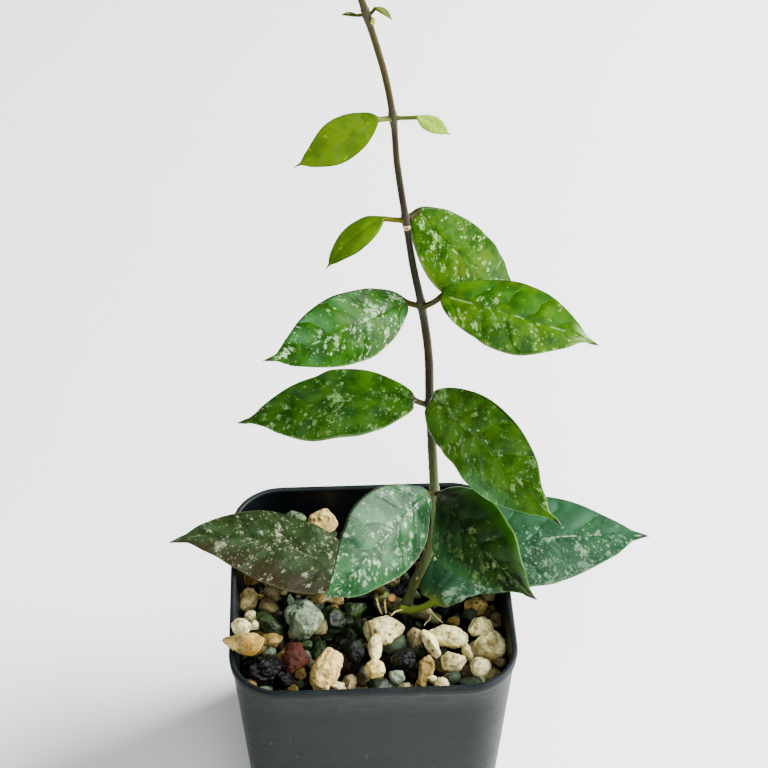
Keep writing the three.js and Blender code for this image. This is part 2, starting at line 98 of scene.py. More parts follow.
def smooth_noise(points, salt):
    """Noise from 0 to 1 at each point, with features about one unit wide."""
    base = np.floor(points)
    part = points - base
    part = part * part * (3 - 2 * part)
    total = np.zeros(points.shape[:-1])
    for corner in product((0, 1), repeat=3):
        corner = np.array(corner)
        weight = np.prod(np.where(corner == 1, part, 1 - part), axis=-1)
        total += weight * lattice(base + corner, salt)
    return total


def fractal(points, octaves, salt):
    """Smooth noise summed over finer and finer octaves, from about -1 to 1."""
    total = np.zeros(points.shape[:-1])
    for octave in range(octaves):
        total += (smooth_noise(points * 2 ** octave, salt + octave) * 2 - 1) * 0.5 ** octave
    return total


def nearest_cell(points, salt):
    """Distance from each point to the nearest of one random spot per cell, and its value."""
    base = np.floor(points)
    nearest = np.full(points.shape[:-1], 9.0)
    value = np.zeros(points.shape[:-1])
    for offset in product((-1, 0, 1), repeat=3):
        cell = base + np.array(offset)
        spot = cell + columns(*(lattice(cell, salt + axis) for axis in (1, 2, 3)))
        distance = np.linalg.norm(points - spot, axis=-1)
        closer = distance < nearest
        nearest = np.where(closer, distance, nearest)
        value = np.where(closer, lattice(cell, salt + 4), value)
    return nearest, value


def smoothstep(low, high, value):
    share = np.clip((value - low) / (high - low), 0, 1)
    return share * share * (3 - 2 * share)


def bell(offset, spread):
    """1 where the offset is 0, falling to 0 a few spreads away."""
    return np.exp(-(offset / spread) ** 2)


# -------------------------------- mesh helpers

def columns(*values):
    """Rows of points or values from their columns, each an array or one number for all rows."""
    return np.stack(np.broadcast_arrays(*values), axis=-1)


def unit(vectors):
    return vectors / np.linalg.norm(vectors, axis=-1, keepdims=True)


def circle(sides):
    return np.linspace(0, 2 * np.pi, sides, endpoint=False)


def add_object(name, data):
    made = bpy.data.objects.new(name, data)
    bpy.context.scene.collection.objects.link(made)
    return made


def add_values(mesh, attributes):
    """Stores a number or a vector at each point, which the material reads by its name."""
    for key, values in attributes.items():
        values = np.asarray(values, np.float32)
        kind, field = ("FLOAT_VECTOR", "vector") if values.ndim == 2 else ("FLOAT", "value")
        mesh.attributes.new(key, kind, "POINT").data.foreach_set(field, values.ravel())


def make_piece(name, vertices, faces, **attributes):
    """A smooth mesh object from points in millimetres."""
    mesh = bpy.data.meshes.new(name)
    mesh.from_pydata((np.asarray(vertices) * MM).tolist(), [], faces)
    mesh.validate()
    mesh.shade_smooth()
    add_values(mesh, attributes)
    return add_object(name, mesh)


def make_skin(name, rings, **attributes):
    """A closed piece over rings that run counter-clockwise round the way they follow each other.

    An attribute has one entry for each ring: a number for the whole ring, or an array with one
    number or vector for each of its points.
    """
    count, size = len(rings), len(rings[0])
    faces = [(ring * size + side, ring * size + (side + 1) % size,
              (ring + 1) * size + (side + 1) % size, (ring + 1) * size + side)
             for ring in range(count - 1) for side in range(size)]
    faces.append(tuple(range(size))[::-1])
    faces.append(tuple(range((count - 1) * size, count * size)))
    spread = {key: np.concatenate([np.broadcast_to(entry, (size, *np.shape(entry)[1:]))
                                   for entry in entries])
              for key, entries in attributes.items()}
    return make_piece(name, np.vstack(rings), faces, **spread)


def make_tube(name, path, radii, sides, relief=None, **attributes):
    """A round tube along a path, which is points and their tangents.

    relief(ring, angles) gives a share to add to the radius.
    """
    rings = []
    angles = circle(sides)
    for i, (centre, along) in enumerate(zip(*path)):
        side = unit(np.cross((0, 1, 0), along))
        normal = np.cross(along, side)
        radius = radii[i] * (1 + (relief(i, angles) if relief else 0 * angles))
        rings.append(centre + np.outer(np.cos(angles) * radius, side)
                     + np.outer(np.sin(angles) * radius, normal))
    return make_skin(name, rings, **attributes)


def blend_points(a, b, low, high, t):
    return ((high - t) * a + (t - low) * b) / (high - low)


def smooth_path(points, steps):
    """Evenly spaced points along a Catmull-Rom curve through the given points, and tangents."""
    points = np.asarray(points, float)
    padded = np.vstack([2 * points[0] - points[1], points, 2 * points[-1] - points[-2]])
    dense = []
    for p in (padded[i:i + 4] for i in range(len(points) - 1)):
        k = np.concatenate([[0], np.cumsum(np.linalg.norm(np.diff(p, axis=0), axis=1) ** 0.5)])
        for t in np.linspace(k[1], k[2], 24, endpoint=False):
            first = [blend_points(p[j], p[j + 1], k[j], k[j + 1], t) for j in range(3)]
            second = [blend_points(first[j], first[j + 1], k[j], k[j + 2], t) for j in range(2)]
            dense.append(blend_points(*second, k[1], k[2], t))
    dense = np.array(dense + [points[-1]])
    run = np.concatenate([[0], np.cumsum(np.linalg.norm(np.diff(dense, axis=0), axis=1))])
    even = np.linspace(0, run[-1], steps + 1)
    line = columns(*(np.interp(even, run, dense[:, axis]) for axis in range(3)))
    return line, unit(np.gradient(line, axis=0))


def bake_modifiers(piece):
    """Replaces a piece's mesh with what its modifiers make of it."""
    graph = bpy.context.evaluated_depsgraph_get()
    mesh = bpy.data.meshes.new_from_object(piece.evaluated_get(graph))
    piece.modifiers.clear()
    piece.data = mesh


def finish_piece(piece, slot, material, *nodes):
    """Gives a piece its material and its body, and hides the nodes that it stands for; the slot is not
    used.
    """
    piece.data.materials.clear()
    piece.data.materials.append(material)
    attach(piece, BODY)
    if nodes:
        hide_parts(*nodes)


# -------------------------------- material helpers

def linear(colour):
    """The linear values of a colour, with full opacity."""
    return (*(((c / 255 + 0.055) / 1.055) ** 2.4 if c > 10 else c / 255 / 12.92 for c in colour), 1)


def scaled(colour, factor):
    return tuple(c * factor for c in colour)


def maths(operation):
    """A method that puts a wire, and a number or another wire, through a Math node."""
    def method(self, other=0.0):
        return self.into("ShaderNodeMath", {0: self, 1: other}, operation=operation)
    return method


class Wire:
    """An output of a shader node. Its methods and its arithmetic add nodes that work on from it."""

    def __init__(self, tree, socket):
        self.tree, self.socket = tree, socket

    def into(self, kind, inputs=(), output=0, **settings):
        """The output of a new node, which takes wires and plain values as its inputs."""
        made = self.tree.nodes.new(kind)
        for key, value in settings.items():
            setattr(made, key, value)
        for key, value in dict(inputs).items():
            if isinstance(value, Wire):
                self.tree.links.new(value.socket, made.inputs[key])
            else:
                made.inputs[key].default_value = value
        return Wire(self.tree, made.outputs[output])

    __add__, __sub__, __mul__ = maths("ADD"), maths("SUBTRACT"), maths("MULTIPLY")
    __pow__, __abs__, sign = maths("POWER"), maths("ABSOLUTE"), maths("SIGN")
    fraction, lesser, greater = maths("FRACT"), maths("MINIMUM"), maths("MAXIMUM")

    def __rsub__(self, other):
        return self.into("ShaderNodeMath", {0: other, 1: self}, operation="SUBTRACT")

    def vector(self, operation, other=(0, 0, 0), scale=1.0, output=0):
        return self.into("ShaderNodeVectorMath", {0: self, 1: other, 3: scale}, output,
                         operation=operation)

    def stretch(self, *factors):
        return self.vector("MULTIPLY", factors)

    def split(self):
        first = self.into("ShaderNodeSeparateXYZ", {0: self})
        return [Wire(self.tree, socket) for socket in first.socket.node.outputs]

    def join(self, y, z):
        """A vector with this as its first part."""
        return self.into("ShaderNodeCombineXYZ", {0: self, 1: y, 2: z})

    def noise(self, scale, detail=3.0, roughness=0.55, distortion=0.0, output="Fac"):
        return self.into("ShaderNodeTexNoise", {
            "Vector": self, "Scale": scale, "Detail": detail, "Roughness": roughness,
            "Distortion": distortion}, output)

    def cells(self, scale=1.0):
        """Two random values of the nearest of one random spot per cell, and its distance."""
        distance = self.into("ShaderNodeTexVoronoi", {"Vector": self, "Scale": scale}, "Distance")
        values = Wire(self.tree, distance.socket.node.outputs["Color"]).split()
        return values[0], values[1], distance

    def step(self, low, high, to_low=0.0, to_high=1.0):
        """This number taken smoothly from low..high to to_low..to_high."""
        return self.into("ShaderNodeMapRange", {
            "Value": self, "From Min": low, "From Max": high, "To Min": to_low, "To Max": to_high,
        }, interpolation_type="SMOOTHSTEP")

    def mix(self, a, b):
        """Colour a where this is 0, b where it is 1. Each is a screen colour or a wire."""
        a, b = (c if isinstance(c, Wire) else linear(c) for c in (a, b))
        return self.into("ShaderNodeMix", {0: self, 6: a, 7: b}, 2, data_type="RGBA")


class Paint:
    """One procedural material and the wires that it starts from."""

    SOCKETS = {
        "roughness": "Roughness", "specular": "Specular IOR Level", "subsurface": "Subsurface Weight",
        "subsurface_scale": "Subsurface Scale", "radius": "Subsurface Radius",
    }

    def __init__(self, name, **settings):
        self.material = bpy.data.materials.new(name)
        self.material.use_nodes = True
        tree = self.material.node_tree
        self.shader = tree.nodes["Principled BSDF"]
        self.start = Wire(tree, None)
        for key, value in settings.items():
            self.shader.inputs[self.SOCKETS[key]].default_value = value
        # The point in the part's frame, in millimetres.
        point = self.start.into("ShaderNodeTexCoord", output="Object")
        self.place = point.vector("SCALE", scale=1 / MM)

    def attribute(self, name, output="Fac"):
        return self.start.into("ShaderNodeAttribute", output=output, attribute_name=name)

    def values(self, name):
        """The three numbers of a vector attribute."""
        return self.attribute(name, "Vector").split()

    def finish(self, colour, height=None, depth=0.0, strength=1.0, roughness=None):
        """The material with this colour, and with bump from a height field of a full depth."""
        bump = height and self.start.into("ShaderNodeBump", {
            "Height": height, "Distance": depth * MM, "Strength": strength})
        for socket, wire in (("Base Color", colour), ("Normal", bump), ("Roughness", roughness)):
            if wire:
                self.start.tree.links.new(wire.socket, self.shader.inputs[socket])
        return self.material


def grainy_paint(name, dark, light, scale, depth, detail=4, rough=0.7, stretch=None, **settings):
    """A material that wanders between two colours, raised where it is light."""
    paint = Paint(name, **settings)
    place = paint.place.stretch(*stretch) if stretch else paint.place
    grain = place.noise(scale, detail, rough)
    return paint.finish(grain.mix(dark, light), grain, depth)


# -------------------------------- camera, floor and light

CAMERA_PLACE = (-11.907, -332.311, 438.263)
CAMERA_AZIMUTH, CAMERA_ELEVATION, CAMERA_ROLL = -2.668, 41.332, 0.183
CAMERA_LENS, CAMERA_SENSOR = 85.44, 36
CAMERA_CLIP = (0.01, 20)
FLOOR_REACH = 2000
LIGHT_AIM = (0, 0, 110)
SKY_COLOUR, SKY_STRENGTH = (0.9, 0.95, 1, 1), 0.22


def make_camera():
    azimuth, elevation, roll = map(math.radians, (CAMERA_AZIMUTH, CAMERA_ELEVATION, CAMERA_ROLL))
    back = Vector((math.sin(azimuth) * math.cos(elevation),
                   -math.cos(azimuth) * math.cos(elevation), math.sin(elevation)))
    right = Vector((math.cos(azimuth), math.sin(azimuth), 0))
    up = back.cross(right)
    right, up = (right * math.cos(roll) + up * math.sin(roll),
                 up * math.cos(roll) - right * math.sin(roll))
    camera = add_object("camera", bpy.data.cameras.new("camera"))
    turn = Matrix((right, up, back)).transposed().to_4x4()
    camera.matrix_world = Matrix.Translation(Vector(CAMERA_PLACE) * MM) @ turn
    camera.data.lens, camera.data.sensor_width = CAMERA_LENS, CAMERA_SENSOR
    camera.data.clip_start, camera.data.clip_end = CAMERA_CLIP
    bpy.context.scene.camera = camera


def make_floor():
    corners = [(x * FLOOR_REACH, y * FLOOR_REACH, 0) for x, y in ((-1, -1), (1, -1), (1, 1), (-1, 1))]
    floor = make_piece("floor", corners, [(0, 1, 2, 3)])
    paint = Paint("floor_paint", roughness=0.6)
    tint = paint.place.noise(0.02, 4).mix((247, 255, 245), (252, 255, 249))
    floor.data.materials.append(paint.finish(tint))


def make_light(name, place, size, power, tint=(1, 1, 1)):
    """A square soft light, which looks at the middle of the plant."""
    light = bpy.data.lights.new(name, "AREA")
    light.shape, light.size = "SQUARE", size * MM
    light.energy, light.color = power, tint
    lamp = add_object(name, light)
    lamp.location = Vector(place) * MM
    aim = Vector(LIGHT_AIM) * MM - lamp.location
    lamp.rotation_euler = aim.to_track_quat("-Z", "Y").to_euler()


def make_lights():
    world = bpy.data.worlds.new("studio")
    world.use_nodes = True
    backdrop = world.node_tree.nodes["Background"]
    backdrop.inputs["Color"].default_value = SKY_COLOUR
    backdrop.inputs["Strength"].default_value = SKY_STRENGTH
    bpy.context.scene.world = world
    make_light("window", (1130, 200, 890), 1000, 120, (0.98, 0.99, 1))
    make_light("front", (100, -900, 1100), 900, 17)


# -------------------------------- pot

WALL_HEIGHTS = (20, 40, 55, 64)     # of rings up the wall, so that it can bow
BOW_REACH = 26                      # how far from a wall's middle it bows
WALL_FROM = 28                      # how far out from the pot's middle its walls begin
CORNER_STEPS = 14
RIM_ROUND = 0.45                    # how high the round top of the rim is
DRILL_SIDES, DRILL_DEPTH = 36, 10
SHARP_EDGE = math.radians(50)


def heading(quarters):
    """The direction at an angle given in quarter turns."""
    return np.array([math.cos(quarters * math.pi / 2), math.sin(quarters * math.pi / 2)])


def rounded_square(width, corner):
    """Points of a square outline with round corners, counter-clockwise seen from above."""
    reach = width / 2 - corner
    points = []
    for quarter in range(4):
        middle = reach * np.sign(heading(quarter + 0.5))
        next_middle = np.array([-middle[1], middle[0]])
        points += [middle + corner * heading(quarter + step / CORNER_STEPS)
                   for step in range(CORNER_STEPS + 1)]
        start, end = points[-1], next_middle + corner * heading(quarter + 1)
        points += [start + (end - start) * share for share in (0.25, 0.5, 0.75)]
    return np.array(points)


def pot_outline(z, outwards):
    """Points round the face of the pot's wall at a height, moved outwards."""
    share = z / Pot.height
    width, corner = (low + (high - low) * share for low, high in (Pot.widths, Pot.corners))
    return columns(*rounded_square(width + 2 * outwards, corner + outwards).T, z)


def pot_profile():
    """(height, distance out of the wall's face) from the inner floor over the rim to the base."""
    wall, floor, height, step = Pot.wall, Pot.floor, Pot.height, Pot.lip_step
    lip = height - Pot.lip_height
    inside = [(floor, -wall - 2), (floor + 0.2, -wall - 0.6), (floor + 0.8, -wall - 0.1)]
    inside += [(z, -wall) for z in (floor + 2, *WALL_HEIGHTS, 70, height - 0.6)]
    half = (wall + step) / 2
    rim = [(height - RIM_ROUND + RIM_ROUND * math.sin(angle), step - half + half * math.cos(angle))
           for angle in map(math.radians, np.linspace(180, 0, 9))]
    outside = [(lip + 1.2, step), (lip + 0.5, step - 0.02), (lip + 0.15, step * 0.7),
               (lip - 0.1, step * 0.2), (lip - 0.4, 0)]
    outside += [(z, 0) for z in (*WALL_HEIGHTS[::-1], 2)]
    return inside + rim + outside + [(1, -0.05), (0.45, -0.3), (0.12, -0.7), (0, -1.1)]


def make_pot():
    rings = np.array([pot_outline(z, out) for z, out in pot_profile()])
    up = rings[..., 2] / Pot.height
    depth = up * (1 - up) * 4
    for axis, other in ((0, 1), (1, 0)):
        across = np.clip(1 - np.abs(rings[..., other]) / BOW_REACH, 0, 1)
        on_wall = np.abs(rings[..., axis]) > WALL_FROM
        rings[..., axis] -= np.sign(rings[..., axis]) * on_wall * across * depth * Pot.bow
    pot = make_skin("pot_shell", rings)
    drill_drains(pot)
    pot.data.set_sharp_from_angle(angle=SHARP_EDGE)
    finish_piece(pot, "pot_plastic", pot_paint(), "pot")


def drill_drains(pot):
    """Cuts four round holes in the floor."""
    cutters = bmesh.new()
    radius = Pot.drain_radius * MM
    for x, y in product((-1, 1), repeat=2):
        spot = Matrix.Translation(Vector((x, y, 0)) * Pot.drain_offset * MM)
        bmesh.ops.create_cone(cutters, cap_ends=True, segments=DRILL_SIDES, depth=DRILL_DEPTH * MM,
                              radius1=radius, radius2=radius, matrix=spot)
    cutter_mesh = bpy.data.meshes.new("drains")
    cutters.to_mesh(cutter_mesh)
    cutter = add_object("drains", cutter_mesh)
    cut = pot.modifiers.new("drains", "BOOLEAN")
    cut.operation, cut.object, cut.solver = "DIFFERENCE", cutter, "EXACT"
    bake_modifiers(pot)
    bpy.data.objects.remove(cutter)


def pot_paint():
    """Dark slate plastic with smears and scuffs, and a painted highlight along the top of the rim."""
    paint = Paint("pot_plastic", roughness=0.45, specular=0.1)
    smear = paint.place.stretch(0.5, 0.5, 2.2).noise(0.35, 4, 0.7, 0.6)
    scuff = paint.place.stretch(1.6, 1.6, 0.35).noise(0.5, 2, 0.5, 1.5)
    skin = paint.place.noise(0.09, 5, 0.6).mix((4, 7, 8), (7, 12, 14))
    skin = smear.step(0.52, 0.8, 0, 0.5).mix(skin, (12, 21, 25))
    skin = scuff.step(0.7, 0.78, 0, 0.2).mix(skin, (90, 100, 106))
    # a painted highlight along the top of the rim, patchy with the smears
    rim_highlight = paint.place.split()[2].step(74.2, 74.9) * smear.step(0.35, 0.65, 0.5, 1)
    skin = (rim_highlight * 0.6).mix(skin, (34, 39, 41))
    return paint.finish(skin, paint.place.noise(4, 3, 0.6), 0.03,
                        roughness=smear.step(0.3, 0.8, 0.38, 0.52))


# -------------------------------- leaves

@dataclass
class Leaf:
    """Shape of a leaf in millimetres and degrees, as it hangs in the part's frame."""

    joint: str              # of the shoot, or None for a leaf on the cutting
    base: tuple             # where the blade begins
    turn: float             # heading of its length, from +X towards +Y
    climb: float            # slope of its length, upwards
    roll: float             # about its length
    length: float
    width: float
    arch: float             # how far the midrib bows out of the face
    sweep: float            # how far it bows to the leaf's left
    peak: float = 0.5       # share of the length where it bows most
    twist: float = 0.0      # more roll, from nothing at the tip to this at the base
    thickness: float = 0.9
    stalk: float = 0.7      # radius of the petiole
    start: tuple = None     # start and bend of the petiole, for a leaf on the cutting
    bend: tuple = None
    veins: float = 5.6      # pairs of side veins
    pucker: float = 0.24    # how far the skin swells between them
    wave: float = 0.35      # how wavy the blade is
    seed: int = 0
    hook: float = 0.0       # how far the tip bends to the leaf's left
    lobe: float = 0.3       # how far the halves reach back beside the petiole
    curl: float = 0.0       # how far the right margin turns up
    left: tuple = ((0, 0),)     # share of the length and how much wider that half is there
    right: tuple = ((0, 0),)


LEAVES = {
    "leaf_cutting_left": Leaf(
        None, (-1.6, 2, 70), 166, 10, 4, 54.2, 24.5, 2.4, -5.2, stalk=0.95, start=(3.1, 4.4, 66),
        bend=(2, 3.9, 69), seed=1, pucker=0.14, hook=2.2,
        left=((0.14, 0), (0.21, 0.7), (0.32, 1.1), (0.6, 0.5), (0.82, 0.2), (1, 0.2)),
        right=((0.1, 0), (0.25, -0.3), (0.45, -0.8), (0.6, -0.1), (0.83, -0.5), (0.95, 0.2))),
    "leaf_cutting_right": Leaf(
        None, (17.6, -4.1, 71.5), 5, 15, -19, 59.5, 26.5, 5.7, 6.9, peak=0.39, twist=21, stalk=0.95,
        start=(8.2, -1.8, 66), bend=(12.2, -5, 67.2), seed=2, pucker=0.2, hook=1.2, lobe=2.6, veins=6,
        left=((0, 2), (0.04, 2.4), (0.1, 1), (0.3, 0), (0.58, -0.5), (0.84, -0.8), (0.94, 0.2)),
        right=((0, 1.5), (0.05, 1.2), (0.09, 0), (0.16, -1), (0.44, -1.4), (0.58, -0.4), (0.7, 0))),
    "leaf_1_left": Leaf(
        "first", (14.2, -6, 113.8), 233, -2, 44, 44.4, 20.8, 4.1, -1.4, seed=3, hook=-1,
        left=((0, 0), (0.08, -0.9), (0.2, -0.3), (0.55, -0.4), (0.7, -0.5), (0.8, 0), (0.95, -0.2)),
        right=((0, 0), (0.07, -1), (0.18, -0.3), (0.3, 0.2), (0.5, 0.6), (0.64, -0.2), (0.82, -0.6),
               (0.94, 0.2))),
    "leaf_1_right": Leaf(
        "first", (17.9, -6.2, 113.8), -60, -2, -43, 41, 19.6, 6.4, 0, seed=4, curl=1.3,
        left=((0.04, -0.5), (0.3, -0.3), (0.58, -0.3), (0.67, 0.1), (0.82, -0.6), (0.95, 0)),
        right=((0, 0), (0.1, -2), (0.2, -1.1), (0.29, 0.5), (0.4, 0.8), (0.58, -0.1), (0.87, -0.5),
               (0.95, 0.2))),
    "leaf_2_left": Leaf(
        "second", (10.4, -4.2, 144.2), 177, -10, 17, 43.5, 19.6, 2.7, -0.3, seed=5, pucker=0.2,
        hook=0.6, lobe=0.9,
        left=((0, 1), (0.1, 0.6), (0.25, 0.2), (0.4, -0.3), (0.6, 0.4), (0.77, -0.1), (0.85, -0.8),
              (0.95, 0.3)),
        right=((0.1, 0), (0.18, 0.3), (0.45, 0), (0.55, -0.8), (0.7, -1), (0.87, -1.3), (0.97, -0.2))),
    "leaf_2_right": Leaf(
        "second", (15, -7.6, 146.9), -55, -7, -57, 46.5, 19.9, 3.1, 2.2, seed=6, hook=0.5, lobe=1.4,
        curl=0.8,
        left=((0, 0.6), (0.2, -0.2), (0.5, -0.4), (0.7, -0.8), (0.82, -1.9), (0.9, -1.4), (0.98, 0)),
        right=((0, 2), (0.06, 2.2), (0.13, 1.4), (0.22, 0.1), (0.34, -0.6), (0.46, 0), (0.67, 0.4),
               (0.88, -0.3), (0.96, 0))),
    "leaf_3_left": Leaf(
        "third", (8.1, -4.1, 174.4), 213, 0, 39, 38.4, 16.4, 4.1, 0.7, seed=7, pucker=0.22, wave=0.5,
        hook=-0.9,
        left=((0.01, 0.3), (0.08, -0.3), (0.28, -0.3), (0.4, 0), (0.52, -0.3), (0.8, -0.4), (0.95, 0)),
        right=((0.02, 0.2), (0.14, 0.1), (0.31, -0.3), (0.5, 0.1), (0.72, 0.3), (0.89, -0.3), (1, 0.1))),
    "leaf_3_right": Leaf(
        "third", (16.3, -7.7, 178.6), -21, -6, -32, 37.4, 17, 2.1, -0.2, seed=8, pucker=0.2, hook=-0.6,
        left=((0.01, 0.7), (0.15, -0.4), (0.26, -0.6), (0.48, -0.2), (0.65, 0.1), (0.87, -0.6),
              (0.96, 0)),
        right=((0.05, -0.1), (0.27, -0.5), (0.36, 0), (0.57, 0.3), (0.8, -0.5), (0.88, -1), (0.97, 0))),
    "leaf_4_left": Leaf(
        "fourth", (3, -4.1, 198.3), 212, -26, 9, 17, 7.1, 1.2, -0.5, thickness=0.7, stalk=0.58, seed=9,
        pucker=0.03, wave=0.12, right=((0.05, 0), (0.14, 0.3), (0.33, 0), (0.7, -0.2), (1, 0))),
    "leaf_4_right": Leaf(
        "fourth", (11, -0.5, 197.2), 22, -48, -62, 38, 18, 2.6, -3.4, seed=10, pucker=0.2, lobe=1,
        stalk=0.82, left=((0.1, -0.1), (0.3, -0.5), (0.55, -0.2), (0.75, 0.6), (0.9, 1.2), (1, 0)),
        right=((0, 1.4), (0.08, 0.4), (0.16, 0), (0.42, 0.2), (1, 0))),
    "leaf_5_left": Leaf(
        "fifth", (1.8, -4.1, 224.3), 212, -11, 56, 21.5, 9.1, 1.2, -0.2, thickness=0.7, stalk=0.6,
        seed=11, pucker=0.03, wave=0.15, left=((0.1, -0.4), (0.3, -0.2), (0.6, 0.1), (0.92, -0.1)),
        right=((0.03, 0.3), (0.15, 0), (0.5, 0.1), (0.83, -0.5), (1, 0))),
    "leaf_5_right": Leaf(
        "fifth", (10.5, -4.1, 224.6), -36, -10, -21, 8.1, 4, 0.5, 0, thickness=0.6, stalk=0.45,
        seed=12, pucker=0.06, wave=0.08),
    "leaf_6_left": Leaf(
        "sixth", (-2.2, -3.3, 249), 186, 8, 0, 3.4, 1.5, 0.3, 0, thickness=0.5, stalk=0.35, seed=13,
        pucker=0, wave=0),
    "leaf_6_right": Leaf(
        "sixth", (1.4, -3.3, 250.6), -12, -34, 0, 4.2, 2.3, 0.6, 0, thickness=0.5, stalk=0.35, seed=14,
        pucker=0, wave=0),
}

BASE_BLEND = 0.16       # share of the blade in which it thins from the petiole
CUP = 0.12              # slope of each half of the blade down from its midrib
STALK_ROWS = 14         # rings of a leaf's skin along its petiole
BLADE_GRID = (120, 60)  # rings along its blade, and steps across each face
SMALL_GRID = (50, 24)   # the same for a leaf shorter than SMALL_LENGTH
SMALL_LENGTH = 10
TIP_HALF_WIDTH = 0.12   # of the skin at its very end


def blade_share(t):
    """Half the blade's width at a share t of its length, over its widest half."""
    s = np.minimum(t / 0.93, 1)
    body = (1 - (1 - s) ** 2.7) ** 0.58 * (1 - s ** 2.9) ** 0.86
    drip = 0.17 * np.minimum((1 - t) / 0.14, 1) * np.clip((t - 0.6) / 0.25, 0, 1)
    return np.hypot(body, drip) / 0.8


def turned(vector, axis, degrees):
    return np.array(Matrix.Rotation(math.radians(degrees), 3, Vector(axis)) @ Vector(vector))


def leaf_axes(leaf):
    """Unit vectors along a leaf's length, to its left and out of its upper face."""
    turn, climb = math.radians(leaf.turn), math.radians(leaf.climb)
    along = np.array([math.cos(climb) * math.cos(turn), math.cos(climb) * math.sin(turn),
                      math.sin(climb)])
    side = turned(unit(np.cross((0, 0, 1), along)), along, -leaf.roll)
    return along, side, np.cross(along, side)


def midrib(leaf, t):
    along, side, normal = leaf_axes(leaf)
    warped = np.clip(t, 0, 1) ** (math.log(0.5) / math.log(leaf.peak))
    bow = 4 * warped * (1 - warped)
    hook = leaf.hook * np.clip((t - 0.72) / 0.28, 0, 1) ** 2
    return (np.array(leaf.base) + np.outer(t * leaf.length, along)
            + np.outer(bow * leaf.arch, normal) + np.outer(bow * leaf.sweep + hook, side))


def petiole_line(leaf, shares):
    """Points and tangents along the petiole, which starts inside its joint."""
    base = np.array(leaf.base, float)
    if leaf.start:
        start, bend = np.array(leaf.start, float), np.array(leaf.bend, float)
    else:
        joint = np.array(JOINTS[leaf.joint])
        start = joint + unit((base - joint) * (1, 1, 0)) * 0.6
        bend = (start + base) / 2
        bend[2] = start[2] + (base[2] - start[2]) * 0.36
    u = shares[:, None]
    points = (1 - u) ** 2 * start + 2 * u * (1 - u) * bend + u * u * base
    return points, unit(2 * (1 - u) * (bend - start) + 2 * u * (base - bend))


def leaf_line(leaf, rows):
    """Place t, centre and tangent of each ring: t is -1 to 0 on the petiole, 0 to 1 on the blade."""
    shares = np.linspace(0, 1, STALK_ROWS, endpoint=False)
    petiole, petiole_tangents = petiole_line(leaf, shares)
    spacing = np.linspace(0, 1, rows)
    blade_t = 0.012 + 0.988 * (spacing ** 1.25 * 0.5 + (1 - (1 - spacing) ** 1.25) * 0.5)
    ahead, behind = midrib(leaf, np.minimum(blade_t + 0.01, 1)), midrib(leaf, blade_t - 0.01)
    return (np.concatenate([shares - 1, blade_t]), np.vstack([petiole, midrib(leaf, blade_t)]),
            np.vstack([petiole_tangents, unit(ahead - behind)]))


def margin_change(knots, t):
    """How much wider half a blade is at t, eased from knot to knot."""
    for (before, low), (after, high) in zip(knots, knots[1:]):
        if before <= t <= after:
            return low + (high - low) * float(smoothstep(before, after, t))
    return knots[0][1] if t < knots[0][0] else knots[-1][1]


def skin_ring(half_ring):
    """Points round a flat section, as shares of its half width, and which of them are on top."""
    spread = np.linspace(1, -1, half_ring + 1)
    top = np.sign(spread) * (1 - (1 - np.abs(spread)) ** 1.6)
    upper = np.concatenate([np.ones(len(top)), np.zeros(len(top) - 2)])
    upper[0] = upper[half_ring] = 0.5
    return np.concatenate([top, top[::-1][1:-1]]), upper


def leaf_section(leaf, t, shares):
    """Half width at each point of a ring, and half the thickness in its middle."""
    if t < 0:  # the petiole swells where it leaves its joint and where it meets the blade
        flare = 1 + 0.35 * bell(t + 1, 0.12) + 0.1 * bell(t, 0.15)
        return np.full(len(shares), leaf.stalk * flare), leaf.stalk * flare
    narrowest = leaf.stalk + (TIP_HALF_WIDTH - leaf.stalk) * t
    wide = blade_share(t) * leaf.width / 2
    tips = min(1, (1 - t) / 0.04)
    left, right = (max(wide + margin_change(knots, t) * tips, narrowest)
                   for knots in (leaf.left, leaf.right))
    half_height = leaf.stalk + (leaf.thickness / 2 - leaf.stalk) * min(t / BASE_BLEND, 1)
    return np.where(shares > 0, left, right), half_height * (1 - 0.6 * t ** 4)


def leaf_relief(leaf, t, across, share):
    """Height of the blade's skin over its flat section, how clear its veins are, and their phase."""
    blend = min(t / BASE_BLEND, 1)
    height = -CUP * blend * (np.sqrt(across ** 2 + 1.4) - math.sqrt(1.4))
    edge = np.abs(share)
    side = np.sign(share) * 0.5
    middle = math.sin(math.pi * min(t, 1))
    coarse = columns(t * 4 + leaf.seed * 7, share * 1.3 + 5, 0)
    drift = smooth_noise(coarse * 1.7, leaf.seed) - 0.5
    phase = t * leaf.veins - 0.95 * edge ** 0.8 + 0.35 * drift + side * 0.3
    groove = (0.5 + 0.5 * np.cos(2 * np.pi * phase)) ** 8
    fade = middle ** 0.6 * np.clip(edge * (1 - edge) * 4, 0, 1) ** 0.7
    strength = 0.5 + smooth_noise(coarse * 0.8, leaf.seed + 40)
    height += leaf.pucker * fade * strength * (0.35 - groove)
    height += leaf.wave * blend * (fractal(coarse * 0.9, 2, leaf.seed + 80) * 0.8)
    margin = columns(t * 9, side * 9 + leaf.seed, 0)
    height += leaf.wave * blend * edge ** 5 * (smooth_noise(margin, leaf.seed + 11) - 0.5) * 1.6
    height += leaf.curl * middle * np.clip((-share - 0.66) / 0.34, 0, 1) ** 1.6
    return height, np.clip(fade * 1.5, 0, 1), phase


